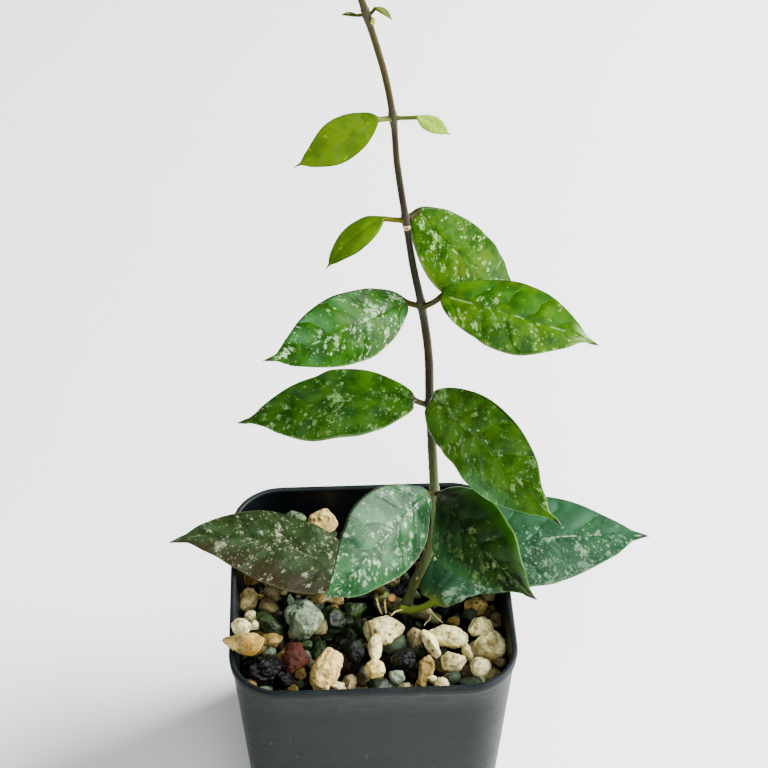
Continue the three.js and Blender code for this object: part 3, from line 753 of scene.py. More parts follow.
def skin_height(leaf, t, across, shares, upper, half_width, half_height):
    """Height of a ring's points over its middle, with round edges and a grooved midrib."""
    edge = np.abs(shares)
    flat = min(max(t, 0) / BASE_BLEND, 1)
    round_from = np.clip(1 - 1.1 * half_height / half_width, 0, 1)
    past = np.clip((edge - round_from) / np.maximum(1 - round_from, 1e-6), 0, 1)
    thickness = half_height * (1 - 0.25 * flat * edge) * np.sqrt(1 - past ** 2)
    height = np.where(upper >= 0.5, thickness, -thickness)
    if t < 0:
        return height, 0, 0
    relief, fade, phase = leaf_relief(leaf, t, across, shares)
    rib = (bell(across, 0.4) + 0.8 * bell(across, 1.3)) * flat
    groove = np.where(upper >= 0.5, 0.22, 0.36) * rib * (1 - t) ** 0.4 * leaf.thickness
    return height + relief - groove, fade, phase


def make_leaf(name, leaf, look):
    """Petiole and blade as one closed skin, with rounded edges, a midrib and side veins."""
    rows, half_ring = SMALL_GRID if leaf.length < SMALL_LENGTH else BLADE_GRID
    shares, upper = skin_ring(half_ring)
    along, left, _ = leaf_axes(leaf)
    line = leaf_line(leaf, rows)
    petiole_length = np.linalg.norm(np.diff(line[1][:STALK_ROWS], axis=0), axis=1).sum()
    rings, places, parts, veins = [], [], [], []
    for t, centre, tangent in zip(*line):
        side = turned(left, along, leaf.twist * (1 - max(t, 0)))
        side = unit(side - tangent * side.dot(tangent))
        half_width, half_height = leaf_section(leaf, t, shares)
        across = shares * half_width
        height, fade, phase = skin_height(leaf, t, across, shares, upper, half_width, half_height)
        back = leaf.lobe * np.clip(1 - abs(t) / 0.1, 0, 1) ** 2 * np.abs(shares) * (t >= 0)
        rings.append(centre + np.outer(across, side) + np.outer(height, np.cross(tangent, side))
                     - np.outer(back, tangent))
        run = t * (leaf.length if t > 0 else petiole_length)
        places.append(columns(run, across, leaf.seed * 13.7))
        parts.append(columns(t, shares, upper))
        veins.append(columns(fade, phase, np.zeros(len(shares))))
    skin = make_skin(name + "_blade", rings, place=places, part=parts, vein=veins)
    finish_piece(skin, look.slot, leaf_paint(name, look), name)


@dataclass
class Look:
    """Colours and flecking of one leaf."""

    deep: tuple
    bright: tuple
    fleck: tuple = (196, 210, 186)
    flecks: float = 0.5         # how many flecks it has
    blotch: float = 0.5         # how many large ones
    tint: tuple = (60, 90, 30)  # colour that comes in from tint_from to tint_to on the left half
    tint_from: float = 0.0
    tint_to: float = 0.0
    flecks_left: float = 0.0    # more flecks on the leaf's left half, or on its right if below 0
    flecks_ahead: float = 0.0   # more flecks towards the tip
    vein_sheen: float = 0.2          # painted sheen on the swollen side of each vein
    vein_sheen_colour: tuple = (96, 140, 100)
    vein_sheen_half: int = 0         # 1 or -1 keeps the painted sheen to the left or the right half
    margin: tuple = ()          # painted light: a brighter green towards the left margin
    sheen_band: tuple = ()            # colour of a band of painted sheen along the right margin
    sheen_band_reach: tuple = (0.1, 0.9)
    yellow: float = 0.0
    yellow_colour: tuple = (104, 112, 0)
    # edge is a painted highlight along the near margin, dark_edge painted shade along the far one
    edge: tuple = (110, 140, 80)
    dark_edge: tuple = (22, 34, 6)
    far: int = 1                # which half has painted shade along its margin, 1 for the left one
    tip: tuple = (48, 34, 30)
    stalk: tuple = (38, 34, 10)
    groove_shade: float = 0.4        # how much painted shade darkens the side veins' grooves
    threads: float = 0.4        # how clear the thin pale line in each side vein is
    rib: float = 0.45           # how clear the broken pale line on the midrib is
    stripes: float = 0.0        # pale lines that run together in the tip
    soft: float = 1.0           # how softly the flecks end
    gloss: float = 0.14
    slot: str = "leaf_mature"


LOOKS = {
    "leaf_cutting_left": Look(
        (17, 28, 6), (30, 46, 16), (154, 152, 128), 1.4, 0.85, tint=(36, 27, 14), tint_from=0.1,
        tint_to=0.85, tip=(50, 42, 30), edge=(76, 70, 42), vein_sheen=0.1, far=-1, rib=0.12, threads=0.1,
        soft=1.4),
    "leaf_cutting_right": Look(
        (20, 52, 28), (33, 72, 42), (140, 174, 142), 1.15, 0.8, edge=(100, 130, 90),
        stalk=(78, 92, 28), flecks_left=-0.34, vein_sheen=0.45, vein_sheen_colour=(66, 106, 80), vein_sheen_half=1,
        gloss=0.18, soft=1.6, rib=0.8, threads=0.7, groove_shade=0.2),
    "leaf_1_left": Look(
        (14, 46, 20), (28, 67, 32), (178, 202, 166), 1.45, 1.1, tip=(120, 98, 66), vein_sheen=0.5, far=-1,
        gloss=0.07, soft=1.8),
    "leaf_1_right": Look(
        (8, 21, 1), (20, 44, 1), (100, 122, 70), 0.9, 0.6, edge=(44, 84, 10), margin=(30, 72, 0),
        flecks_left=-0.25, flecks_ahead=-0.1, vein_sheen=0.1, sheen_band=(38, 76, 42), sheen_band_reach=(0.05, 0.85),
        dark_edge=(44, 84, 6), threads=0.05, groove_shade=0.15),
    "leaf_2_left": Look(
        (18, 53, 0), (43, 82, 0), (132, 168, 100), 1.2, 0.55, vein_sheen=0.12, far=-1, flecks_left=0.12),
    "leaf_2_right": Look(
        (36, 72, 0), (64, 106, 0), (150, 188, 116), 1.15, 0.75, vein_sheen=0.15, sheen_band=(76, 128, 76),
        sheen_band_reach=(0.35, 0.85)),
    "leaf_3_left": Look(
        (16, 48, 0), (33, 73, 0), (166, 200, 146), 1.15, 0.75, vein_sheen=0.9, gloss=0.05, groove_shade=0.45,
        vein_sheen_colour=(62, 116, 66), far=-1, stalk=(46, 42, 14), threads=0.5),
    "leaf_3_right": Look(
        (27, 66, 0), (60, 101, 0), (156, 190, 112), 0.85, 0.75, yellow=0.35,
        yellow_colour=(74, 104, 0), groove_shade=0.35, flecks_left=-0.15, vein_sheen=0.5,
        vein_sheen_colour=(46, 94, 34), vein_sheen_half=1, stripes=0.8, stalk=(46, 42, 14), gloss=0.1),
    "leaf_4_left": Look(
        (56, 84, 0), (74, 104, 0), (130, 164, 40), 0.1, 0, vein_sheen=0.05, slot="leaf_young", gloss=0.06,
        groove_shade=0.12, rib=0.1, edge=(48, 62, 2), dark_edge=(30, 40, 0), stalk=(64, 64, 8), threads=0.1),
    "leaf_4_right": Look(
        (22, 52, 0), (44, 76, 0), (146, 178, 104), 1, 0.75, yellow=0.75, yellow_colour=(60, 78, 0),
        vein_sheen=0.3, vein_sheen_colour=(50, 92, 36), stalk=(30, 31, 8), gloss=0.03, groove_shade=0.35),
    "leaf_5_left": Look(
        (47, 68, 0), (62, 85, 0), (130, 164, 40), 0.12, 0, vein_sheen=0.05, slot="leaf_young", gloss=0.02,
        groove_shade=0.12, rib=0.1, edge=(48, 62, 2), dark_edge=(30, 40, 0), stalk=(92, 96, 46), threads=0.1),
    "leaf_5_right": Look(
        (122, 158, 30), (148, 182, 54), (190, 206, 130), 0.2, 0.1, vein_sheen=0.1, slot="leaf_young",
        stalk=(66, 72, 20), gloss=0.1, groove_shade=0.2, dark_edge=(90, 112, 20), edge=(90, 112, 20)),
    "leaf_6_left": Look(
        (44, 42, 1), (66, 60, 2), flecks=0, blotch=0, slot="leaf_young", gloss=0.03, edge=(66, 58, 4),
        dark_edge=(50, 44, 2), tip=(120, 70, 20), stalk=(52, 52, 8)),
    "leaf_6_right": Look(
        (50, 52, 0), (72, 70, 1), flecks=0, blotch=0, slot="leaf_young", gloss=0.03, edge=(74, 62, 4),
        dark_edge=(40, 42, 2), tip=(60, 40, 12), stalk=(40, 44, 8)),
}

LEAF_ROUGHNESS = 0.33
VEIN_SLANT = math.radians(50)   # of the side veins from the midrib
# Cell size, share of the cells that have a fleck, softness of its edge. The first are blotches.
FLECK_LAYERS = ((3.1, 0.58, 0.2), (1.8, 0.66, 0.22), (0.9, 0.66, 0.3), (0.5, 0.6, 0.5))


def leaf_greens(look, plain, mottle, share):
    """The leaf's mottled green, with its tint and its yellower patches."""
    green = mottle.step(0.36, 0.64).mix(look.deep, look.bright)
    if look.tint_to:
        amount = share.step(look.tint_from, look.tint_to) * mottle.step(0.3, 0.6, 0.4, 1)
        green = amount.mix(green, look.tint)
    if look.yellow:
        patches = plain.noise(0.16, 2).step(0.52, 0.68, 0, look.yellow)
        green = patches.mix(green, look.yellow_colour)
    return green


def leaf_veins(look, green, plain, share, fade, phase):
    """Painted sheen on the swollen side of each vein, painted shade in its groove, and the thin pale
    line in that.
    """
    wobble = (plain.noise(0.5, 2) - 0.5) * 0.16
    ramp = (phase + wobble).fraction()
    away = ramp.lesser(1 - ramp)
    # painted sheen: a paler, bluer green on the swollen side of each vein
    painted_sheen = ramp ** 1.6 * fade * plain.noise(0.1, 1).step(0.35, 0.6, 0, look.vein_sheen)
    if look.vein_sheen_half:
        painted_sheen = painted_sheen * (share * look.vein_sheen_half).step(-0.1, 0.1)
    green = painted_sheen.mix(green, look.vein_sheen_colour)
    # painted shade in the groove of each side vein
    groove = away.step(0, 0.13, 1, 0) ** 2 * fade
    green = (groove * look.groove_shade).mix(green, scaled(look.deep, 0.72))
    broken = plain.noise(0.4, 2).step(0.4, 0.6, 0, look.threads)
    thread = away.step(0.012, 0.04, 1, 0) * fade * broken
    return thread.mix(green, scaled(look.bright, 1.5))


def leaf_sides(look, green, mottle, t, share):
    """Painted light towards the left margin, and a band of painted sheen along the right one."""
    # painted light: a brighter green towards the left margin
    if look.margin:
        green = share.step(0.5, 0.95, 0, 0.85).mix(green, look.margin)
    # painted sheen along the right margin, where it turns up
    if look.sheen_band:
        low, high = look.sheen_band_reach
        ends = t.step(low, low + 0.2) * t.step(high - 0.2, high, 1, 0)
        sheen_band = share.step(-0.95, -0.45, 1, 0) * ends * mottle.step(0.25, 0.6, 0.4, 1)
        green = sheen_band.mix(green, look.sheen_band)
    return green


def fleck_layer(streaks, size, share, crowd, soft):
    """Scattered irregular flecks, one at most in each cell of a size in millimetres."""
    warp = streaks.noise(2.4 / size, 3.0, 0.65, output="Color")
    shift = warp.vector("SUBTRACT", (0.5, 0.5, 0.5)).vector("SCALE", scale=size * 1.15)
    bent = streaks.vector("ADD", shift).vector("SCALE", scale=1 / size)
    chance, strength, distance = bent.cells()
    reach = (chance + crowd).step(1 - share, 1.15, -0.1, 0.55)
    ragged = (streaks.noise(0.7 + 2.6 / size, 3, 0.6) - 0.52) * 1.1
    return (ragged + (reach - distance)).step(0, soft) * strength.step(0, 1, 0.5, 1)


def leaf_flecks(look, plain, x, side, shifted, t, share):
    """Flecks of four sizes, stretched the way the side veins run, out and to the tip."""
    run = x * math.cos(VEIN_SLANT) + side * math.sin(VEIN_SLANT)
    cross = side * math.cos(VEIN_SLANT) - x * math.sin(VEIN_SLANT)
    streaks = (run * 0.72).join(cross, shifted)
    crowd = plain.noise(0.13, 2).step(0.3, 0.7, -0.15, 0.17)
    crowd = crowd + share * look.flecks_left + (t - 0.5) * look.flecks_ahead
    flecks, amount = None, look.blotch
    for size, cells, soft in FLECK_LAYERS:
        layer = fleck_layer(streaks, size, amount * cells, crowd, soft * look.soft)
        flecks = flecks.greater(layer) if flecks else layer
        amount = look.flecks
    return flecks * streaks.noise(1.7, 4, 0.7).step(0.35, 0.62, 0.4, 1)


def leaf_paint(name, look):
    """Greens, veins with painted sheen and shade, flecks, midrib, margins with painted highlight and
    shade, tip, underside and petiole, one over the other.
    """
    paint = Paint(name, roughness=LEAF_ROUGHNESS, subsurface=0.06, subsurface_scale=0.002,
                  radius=(0.3, 1, 0.1), specular=look.gloss)
    x, y, seed = paint.values("place")
    t, share, upper = paint.values("part")
    fade, phase, _ = paint.values("vein")
    side = abs(y)
    plain = x.join(y, seed)
    mottle = plain.noise(0.22, 4, 0.6)
    on_top = upper.step(0.3, 0.5)

    green = leaf_greens(look, plain, mottle, share)
    green = leaf_veins(look, green, plain, share, fade, phase)
    green = leaf_sides(look, green, mottle, t, share)
    flecks = leaf_flecks(look, plain, x, side, seed + y.sign() * 7, t, share) * on_top
    pale = plain.noise(1.6, 3).mix(look.fleck, scaled(look.fleck, 1.1))
    skin = (flecks * 0.78).mix(green, pale)

    rib = side.step(0.1, 0.3, 1, 0) * plain.noise(0.28, 3).step(0.5, 0.62) * look.rib
    skin = rib.mix(skin, look.fleck)
    if look.stripes:
        lines = (t * 1.5).join(share * 5, seed).noise(1, 1)
        silver = lines.step(0.46, 0.58) * t.step(0.8, 0.92, 0, look.stripes)
        skin = silver.mix(skin, look.fleck)
    # a thin line along the margin: painted highlight on the near half, painted shade on the far half
    far = (share * look.far).step(-0.1, 0.1)
    line = abs(share).step(0.94, 0.975) * far.step(0, 1, 0.35, 0.85)
    skin = line.mix(skin, far.mix(look.edge, look.dark_edge))
    skin = t.step(0.945, 0.978, 0, 0.9).mix(skin, look.tip)
    skin = on_top.mix(mottle.mix((62, 92, 36), (84, 112, 54)), skin)
    stalk = plain.noise(0.8, 3).mix(look.stalk, scaled(look.stalk, 1.35))
    skin = t.step(-0.03, 0.035).mix(stalk, skin)
    return paint.finish(skin, plain.noise(2.4, 4, 0.6) + flecks * 0.4, 0.05, 0.7,
                        mottle.step(0.3, 0.7, LEAF_ROUGHNESS - 0.05, LEAF_ROUGHNESS + 0.05))


# -------------------------------- stems and roots

def around(angles, reach, height):
    """Points on a circle at a height, from which noise round a stem is taken."""
    return columns(np.cos(angles) * reach, np.sin(angles) * reach, height)


def make_vine():
    """The shoot, which swells at its joints and at its foot."""
    path = smooth_path(STEM_LINE, 620)
    heights = path[0][:, 2]
    radii = np.interp(heights, *zip(*STEM_RADII))
    joint = np.zeros(len(heights))
    for _, _, level in JOINTS.values():
        over = heights - level
        # The joint is swollen, with a ridge and then a seam round the shoot just above it.
        radii += 0.22 * bell(over, 1.7) + 0.07 * bell(over - 1.3, 0.25) - 0.05 * bell(over - 1.8, 0.2)
        joint = np.maximum(joint, bell(over, 3))
    radii += 0.25 * bell(heights - heights[0], 2)

    def relief(i, angles):
        broad = fractal(around(angles, 1.2, heights[i] * 0.12), 2, 3)
        return 0.05 * broad + 0.035 * fractal(around(angles, 4, heights[i] * 0.9), 3, 8)

    stem = make_tube("vine_stem_bark", path, radii, 28, relief, joint=joint)
    finish_piece(stem, "stem_bark", stem_paint(), "vine_stem")


def stem_paint():
    """Streaky bark: darker green at the foot, olive, brown, and tan towards the tip."""
    paint = Paint("stem_bark", roughness=0.4, specular=0.08)
    streak = paint.place.stretch(1.6, 1.6, 0.16).noise(1.2, 4, 0.65)
    height = paint.place.split()[2] + streak * 20
    bark = height.step(208, 262).mix(streak.mix((14, 11, 3), (44, 36, 13)),
                                     streak.mix((32, 26, 7), (76, 63, 25)))
    bark = height.step(112, 150, 1, 0).mix(bark, streak.mix((56, 66, 34), (116, 130, 84)))
    # darker towards the bottom
    bark = height.step(86, 108, 1, 0).mix(bark, streak.mix((34, 42, 20), (98, 110, 66)))
    bark = (paint.attribute("joint") * 0.45).mix(bark, (66, 64, 56))
    speck = paint.place.noise(3.2, 2).step(0.66, 0.72, 0, 0.3)
    return paint.finish(speck.mix(bark, (150, 140, 112)), streak, 0.12, 0.8)


# Pale scars where leaves and shoots have dropped: middle, half sizes.
SCARS = {
    "leaf_scar_high": ((8.35, -3.75, 195.3), (0.86, 0.42, 0.78)),
    "leaf_scar_low": ((16.9, -3.9, 87.4), (0.36, 0.3, 0.62)),
    "shoot_scar_low": ((12.5, -1.9, 78), (0.32, 0.3, 0.5)),
}


def make_stem_scars():
    """Corky, slightly three-lobed pads with a dimple in front."""
    paint = Paint("stem_scar", roughness=0.6, specular=0.2)
    grain = paint.place.noise(3, 3)
    cork = grain.mix((160, 142, 100), (214, 202, 166))
    core = grain.mix((92, 74, 26), (142, 118, 46))
    material = paint.finish(paint.attribute("ring").step(0.35, 0.6, 1, 0).mix(cork, core), grain, 0.1)
    angles = circle(28)
    lobes = 1 + 0.06 * np.sin(3 * angles + 1)
    turns = np.linspace(math.pi - 0.06, 0.06, 14)  # from the back of the pad to its front
    for name, (middle, half) in SCARS.items():
        rings = [columns(np.cos(angles) * math.sin(turn) * lobes,
                         0.35 * bell(turn, 0.5) - math.cos(turn),
                         np.sin(angles) * math.sin(turn) * lobes) * half + middle for turn in turns]
        scar = make_skin(name, rings, ring=np.where(turns < math.pi / 2, np.sin(turns), 1))
        finish_piece(scar, "stem_bark", material)


def make_cutting():
    """The old cutting, lumpy and damp, with a joint where the shoot and its leaves stand."""
    path = smooth_path(CUTTING_LINE, 120)
    share = np.linspace(0, 1, len(path[0]))
    radii = CUTTING_RADIUS + (CUTTING_END_RADIUS - CUTTING_RADIUS) * share
    radii += 0.35 * bell(share - 0.42, 0.09)
    radii *= np.clip(np.minimum(share, 1 - share) / 0.035, 0.05, 1) ** 0.4

    def relief(i, angles):
        return 0.09 * fractal(around(angles, 1.5, share[i] * 12), 4, 21)

    cutting = make_tube("cutting_bark", path, radii, 32, relief)
    finish_piece(cutting, "cutting_bark", cutting_paint(), "cutting_stem")


def cutting_paint():
    paint = Paint("cutting_bark", roughness=0.34, specular=0.55)
    grain = paint.place.noise(2.2, 4, 0.7)
    bark = grain.mix((30, 28, 11), (84, 72, 36))
    moss = grain.mix((48, 66, 10), (108, 128, 42))
    skin = paint.place.noise(0.45, 4, 0.6).step(0.48, 0.6).mix(bark, moss)
    return paint.finish(grain.step(0.64, 0.72, 0, 0.5).mix(skin, (150, 150, 110)), grain, 0.35)


SIDE_SHOOT_LINE = ((6.3, 2.2, 64.4), (6.25, 1.7, 66), (6.05, 0.7, 67.6))


def make_side_shoot():
    """The stump of a side shoot on the cutting, cut across to a pale orange face."""
    line, tangents = smooth_path(SIDE_SHOOT_LINE, 12)
    # Four more rings close in over the cut, which is dished a little.
    face = line[-1] - np.outer((0, 0.08, 0.1, 0.1), tangents[-1])
    radii = [*(1.3 - 0.08 * np.linspace(0, 1, len(line))), 1.06, 0.9, 0.45, 0.06]
    cut = [0] * (len(line) + 1) + [0.6, 1, 1]
    path = (np.vstack([line, face]),
            np.vstack([tangents, np.repeat(tangents[-1:], len(face), axis=0)]))
    stump = make_tube("cut_side_shoot", path, radii, 28,
                      lambda i, a: 0.05 * np.sin(3 * a + i * 0.3), cut=cut)
    stump.data.set_sharp_from_angle(angle=math.radians(45))
    paint = Paint("cut_wood", roughness=0.5)
    grain = paint.place.noise(2.5, 3)
    bark = grain.mix((40, 36, 14), (92, 74, 34))
    wood = grain.mix((190, 122, 42), (226, 168, 84))
    material = paint.finish(paint.attribute("cut").mix(bark, wood), grain, 0.1)
    finish_piece(stump, "cutting_bark", material)


ROOTS = {
    "aerial_root_1": ((1.7, 2.6, 65.2), (1.9, 0.8, 66.4), (2.2, -1.4, 66.5), (2.7, -3.4, 66.7),
                      (3, -5, 67.6)),
    "aerial_root_2": ((4.2, 2, 65.2), (4, 0.6, 66.5), (4, -2, 66.6), (4.1, -5, 67.8)),
    "aerial_root_3": ((9.4, -2, 65.3), (8.4, -3, 66.7), (6.7, -3.8, 67), (5.4, -6, 68)),
}
ROOT_RADIUS = 0.29


def make_roots():
    """Dry fibrous roots, flattened and thinning to their ends."""
    material = grainy_paint("root", (126, 100, 42), (206, 184, 104), 1.6, 0.12, roughness=0.6)
    for seed, (name, knots) in enumerate(ROOTS.items()):
        path = smooth_path(knots, 60)
        share = np.linspace(0, 1, len(path[0]))
        radii = ROOT_RADIUS * (1.2 - 0.65 * share) * (1 + 0.15 * np.sin(share * 37 + seed))
        radii[-1] *= 0.2
        root = make_tube(name + "_fibre", path, radii, 12,
                         lambda i, a: 0.12 * np.sin(2 * a + i * 0.4))
        finish_piece(root, "root", material, name)


STUB_LINE = ((14.2, -2.6, 65.2), (15.1, -3.4, 66.9), (16.5, -4.5, 66.9), (18, -5.6, 65.8),
             (19.6, -6.4, 64.6))
THREAD_LINE = ((16.2, -4.6, 66.2), (15.8, -5.6, 65.4), (15, -6.6, 65.6), (14.2, -8.6, 66.6))


def make_bract():
    """The dry stub of an old petiole: a papery scale with a thread of root hanging from it."""
    material = grainy_paint("bract", (126, 106, 62), (212, 196, 150), 1.8, 0.12,
                            stretch=(1, 1, 0.4), roughness=0.65)
    path = smooth_path(STUB_LINE, 40)
    share = np.linspace(0, 1, len(path[0]))
    radii = 0.17 + 0.7 * bell(share - 0.34, 0.13) + 0.2 * bell(share, 0.2)
    radii *= np.clip((1 - share) / 0.1, 0.1, 1)
    scale = make_tube("old_petiole_scale", path, radii, 16,
                      lambda i, a: 0.22 * np.sin(2 * a + 0.8) - 0.1 * np.sin(5 * a + i * 0.2))
    finish_piece(scale, "bract", material, "old_petiole_stub")
    path = smooth_path(THREAD_LINE, 30)
    radii = 0.15 * (1.2 - 0.6 * np.linspace(0, 1, len(path[0])))
    finish_piece(make_tube("old_petiole_thread", path, radii, 10), "bract", material)


BUD_SHIFTS = {"axillary_bud": (-1, -0.1, 1.2), "growing_tip": (0, 0, 0)}  # from the CAD bud's place


def make_buds():
    """The bud in an axil and the closed tip of the shoot, each of two folded scales."""
    material = grainy_paint("bud", (150, 146, 12), (214, 200, 84), 2.2, 0.06, 3, 0.55, (1, 1, 0.3),
                            roughness=0.4, subsurface=0.1, subsurface_scale=0.001)
    share = np.linspace(0, 1, 40)
    width = np.sin(np.pi * np.clip(share, 0.02, 0.98) ** 0.62) ** 0.75
    angles = circle(24)
    for name, shift in BUD_SHIFTS.items():
        low, high = (np.array(corner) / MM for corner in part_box(name))
        middle, half = (low + high) / 2 + shift, (high - low) / 2
        rings = []
        for u, w in zip(share, width):
            seam = 1 - 0.16 * np.abs(np.cos(angles)) ** 12 * w
            rings.append(middle + columns(np.cos(angles) * half[0] * w * seam,
                                          np.sin(angles) * half[1] * w * seam,
                                          (2 * u - 1) * half[2]))
        finish_piece(make_skin(name + "_scales", rings), "bud", material, name)


# -------------------------------- stones

@dataclass
class Stone:
    """How one kind of stone breaks and wears. Lengths are in millimetres."""

    common: float       # share of the loose grains that are of this kind
    facets: int         # how many flat faces a lump is given
    facet_depth: float  # the share of its reach that a facet takes off
    lumps: float
    rough: float
    pit_size: float
    pit_depth: float
    pit_share: float    # share of the places for a pit that have one
    dark: tuple
    light: tuple
    # stain is the colour of stains, and of the painted shade under the pale stones
    stain: tuple
    # pit_colour is that of speckles, and of the painted shade in pores and pits
    pit_colour: tuple
    roughness: float
    grain: float
    specular: float = 0.15


STONES = {
    "pumice": Stone(
        0.14, 9, 0.15, 0.7, 0.2, 1.9, 0.4, 0.5, (118, 96, 40), (242, 232, 168), (112, 86, 36),
        (46, 32, 18), 0.78, 0.25),
    "pumice_tan": Stone(
        0.09, 10, 0.16, 0.8, 0.22, 2.0, 0.45, 0.5, (98, 80, 34), (216, 186, 112), (178, 132, 38),
        (52, 34, 16), 0.78, 0.25),
    "zeolite": Stone(
        0.07, 7, 0.14, 1.1, 0.26, 1.6, 0.35, 0.6, (40, 50, 33), (132, 150, 120), (60, 74, 46),
        (22, 30, 18), 0.72, 0.32),
    "zeolite_dark": Stone(
        0.22, 10, 0.2, 0.7, 0.2, 1.4, 0.3, 0.4, (8, 20, 5), (44, 62, 26), (96, 120, 86), (4, 9, 3),
        0.26, 0.2, 0.25),
    "lava_black": Stone(
        0.24, 11, 0.18, 1.2, 0.26, 1.3, 0.7, 0.9, (1, 1, 1), (10, 10, 12), (9, 7, 6), (0, 0, 0), 0.26,
        0.24, 0.14),
    "lava_red": Stone(
        0.03, 9, 0.2, 0.9, 0.42, 1.2, 0.4, 0.7, (26, 8, 3), (66, 26, 12), (30, 12, 10), (16, 5, 4),
        0.6, 0.3),
    "gravel": Stone(
        0.21, 9, 0.16, 0.6, 0.16, 1.6, 0.25, 0.35, (44, 37, 19), (132, 120, 80), (68, 46, 16),
        (26, 16, 9), 0.55, 0.18),
}


@dataclass
class Form:
    """What sets one stone apart, seen from the front: lengths in millimetres, angles in degrees."""

    tone: float = None      # from its kind's dark colour to its light one
    stain: float = 0.25
    lumps: float = 1        # how lumpy and how faceted it is beside others of its kind
    facets: float = 1
    angle: float = 0        # of the stretch, up from the right
    along: float = 1
    across: float = 1
    shift: tuple = (0, 0)   # right and up
    corner: tuple = ()      # angle and length of a corner that stands out
    pits: tuple = ()        # right, up, radius, depth and painted shade of each hollow


FORMS = {
    "pumice_01": Form(0.8, lumps=0.5, shift=(-0.2, -0.6)),
    "pumice_02": Form(
        0.62, 0.6, 0.6, shift=(-1.3, -0.3),
        pits=((1.6, -0.8, 0.5, 0.5, 1), (3.5, 1.8, 0.5, 0.4, 1), (-2.6, 0.4, 0.9, 0.35, 0.4),
              (-0.6, 1.2, 0.6, 0.3, 0.5), (0.4, -2.4, 0.5, 0.3, 0.6), (-1.6, -1.8, 0.5, 0.3, 0.6),
              (2.2, 0.6, 0.35, 0.3, 0.8))),
    "pumice_03": Form(1, 0, 0.05, 0.1, 95, 1.1, 1, (0, 0.6)),
    "pumice_04": Form(1.4, 0, 0.6, pits=((-0.2, 0.7, 1.1, 0.35, 0.2),)),
    "pumice_05": Form(0.55, lumps=0.6, shift=(-1.2, 0), angle=100, along=1.15),
    "pumice_06": Form(
        0.85, lumps=0.6, angle=-60, along=1.24, across=0.78, pits=((0.3, -1.5, 0.55, 0.7, 1),)),
    "pumice_07": Form(
        0.8, lumps=0.8, angle=-12, along=1.12, across=0.9, shift=(-1, -0.5), corner=(172, 1)),
    "pumice_08": Form(0.65, 0.8, 0.8),
    "pumice_09": Form(1, 0.1, 1.2, along=1.08, shift=(-0.5, -0.9)),
    "pumice_10": Form(0.8, 0.9, 0.8, shift=(1, -0.2)),
    "pumice_11": Form(1, 0.1, 0.3, 0.7, corner=(-88, 1.6)),
    "pumice_tan_01": Form(0.7, 0.9, 0.9, 1.3, -14, 1.02, 1.02, (-0.2, -0.8), (162, 1)),
    "pumice_tan_02": Form(1, 0.2, 1.2, 0.8, 52, 1.16, 0.86),
    "pumice_tan_03": Form(0.4, 0, 0.5, 1, 68, 1.06, 0.95, (0.3, 0.4), pits=((0.6, 0.9, 1.8, 1, 0.4),)),
    "pumice_tan_04": Form(0.4, 0.1, 0.7, pits=((0, 1.3, 0.5, 0.5, 1),)),
    "pumice_tan_05": Form(0.85, 0.05, 0.5, pits=((0.8, 0.9, 1.4, 0.5, 0.5), (-1.4, 0.6, 1, 0.4, 0.5))),
    "zeolite_01": Form(
        0.85, 0.1, 0.9, 1, 92, 1.1, 0.9, (-0.7, -0.3),
        pits=((-1.6, 4, 0.8, 0.5, 0.6), (3.6, 2.4, 0.7, 0.4, 0.5), (-3.8, 1, 0.6, 0.4, 0.4),
              (1, -4.6, 0.7, 0.4, 0.4))),
    "zeolite_dark_01": Form(0.6, 0.9, 0.6, 1.2, -45, 1.3, 0.82, (-0.3, -0.4)),
    "zeolite_dark_02": Form(0.1, 0),
    "zeolite_dark_03": Form(1, 0.6, 0.6),
    "lava_black_01": Form(0.3, 0, 1.1, 1, 0, 1.2, 0.92, (0, -1.6)),
    "lava_black_03": Form(0.7, 0, 0.4),
    "lava_black_04": Form(0.4, 0, 1.1),
    "lava_red_01": Form(0.9, 0, 0.6, 1.4),
    "gravel_01": Form(0.8, 0, 0.5),
    "gravel_02": Form(0.6, 0, 0.5),
    "gravel_03": Form(1, 0, 0.4, angle=80, along=1.12),
    "gravel_04": Form(0.55, 0, shift=(1.3, -1.5)),
}
# Right and up for someone who looks from the front and above, and out towards them.
RIGHT, UP, OUT = np.array((1, 0, 0)), np.array((0, 0.66, 0.75)), np.array((0, -0.75, 0.66))

FINEST_VOXEL, VOXELS_ACROSS = 0.17, 52      # how finely a top stone is meshed
WELD_DISTANCE = 0.02
WEAR, WEAR_STEPS = 0.6, 6                   # how much its edges are smoothed
MOSS_MIDDLE, MOSS_REACH = (-4, -1, 65), (9, 18)     # where it is thickest, and where it thins out
MOSSY_KINDS = ("zeolite_dark", "lava_black")


def shape_stone(spread, form):
    """Stretches, points and shifts a stone as its form says."""
    angle = math.radians(form.angle)
    along = RIGHT * math.cos(angle) + UP * math.sin(angle)
    across = UP * math.cos(angle) - RIGHT * math.sin(angle)
    for axis, factor in ((along, form.along), (across, form.across)):
        spread = spread + np.outer(spread @ axis, axis) * (factor - 1)
    if form.corner:
        turn, length = math.radians(form.corner[0]), form.corner[1]
        toward = RIGHT * math.cos(turn) + UP * math.sin(turn)
        reach = spread @ toward
        pull = smoothstep(0.2, 1, reach / reach.max())[:, None]
        sideways = spread - np.outer(reach, toward)
        spread = spread + toward * length * pull - sideways * 0.35 * pull
    return spread + RIGHT * form.shift[0] + UP * form.shift[1]


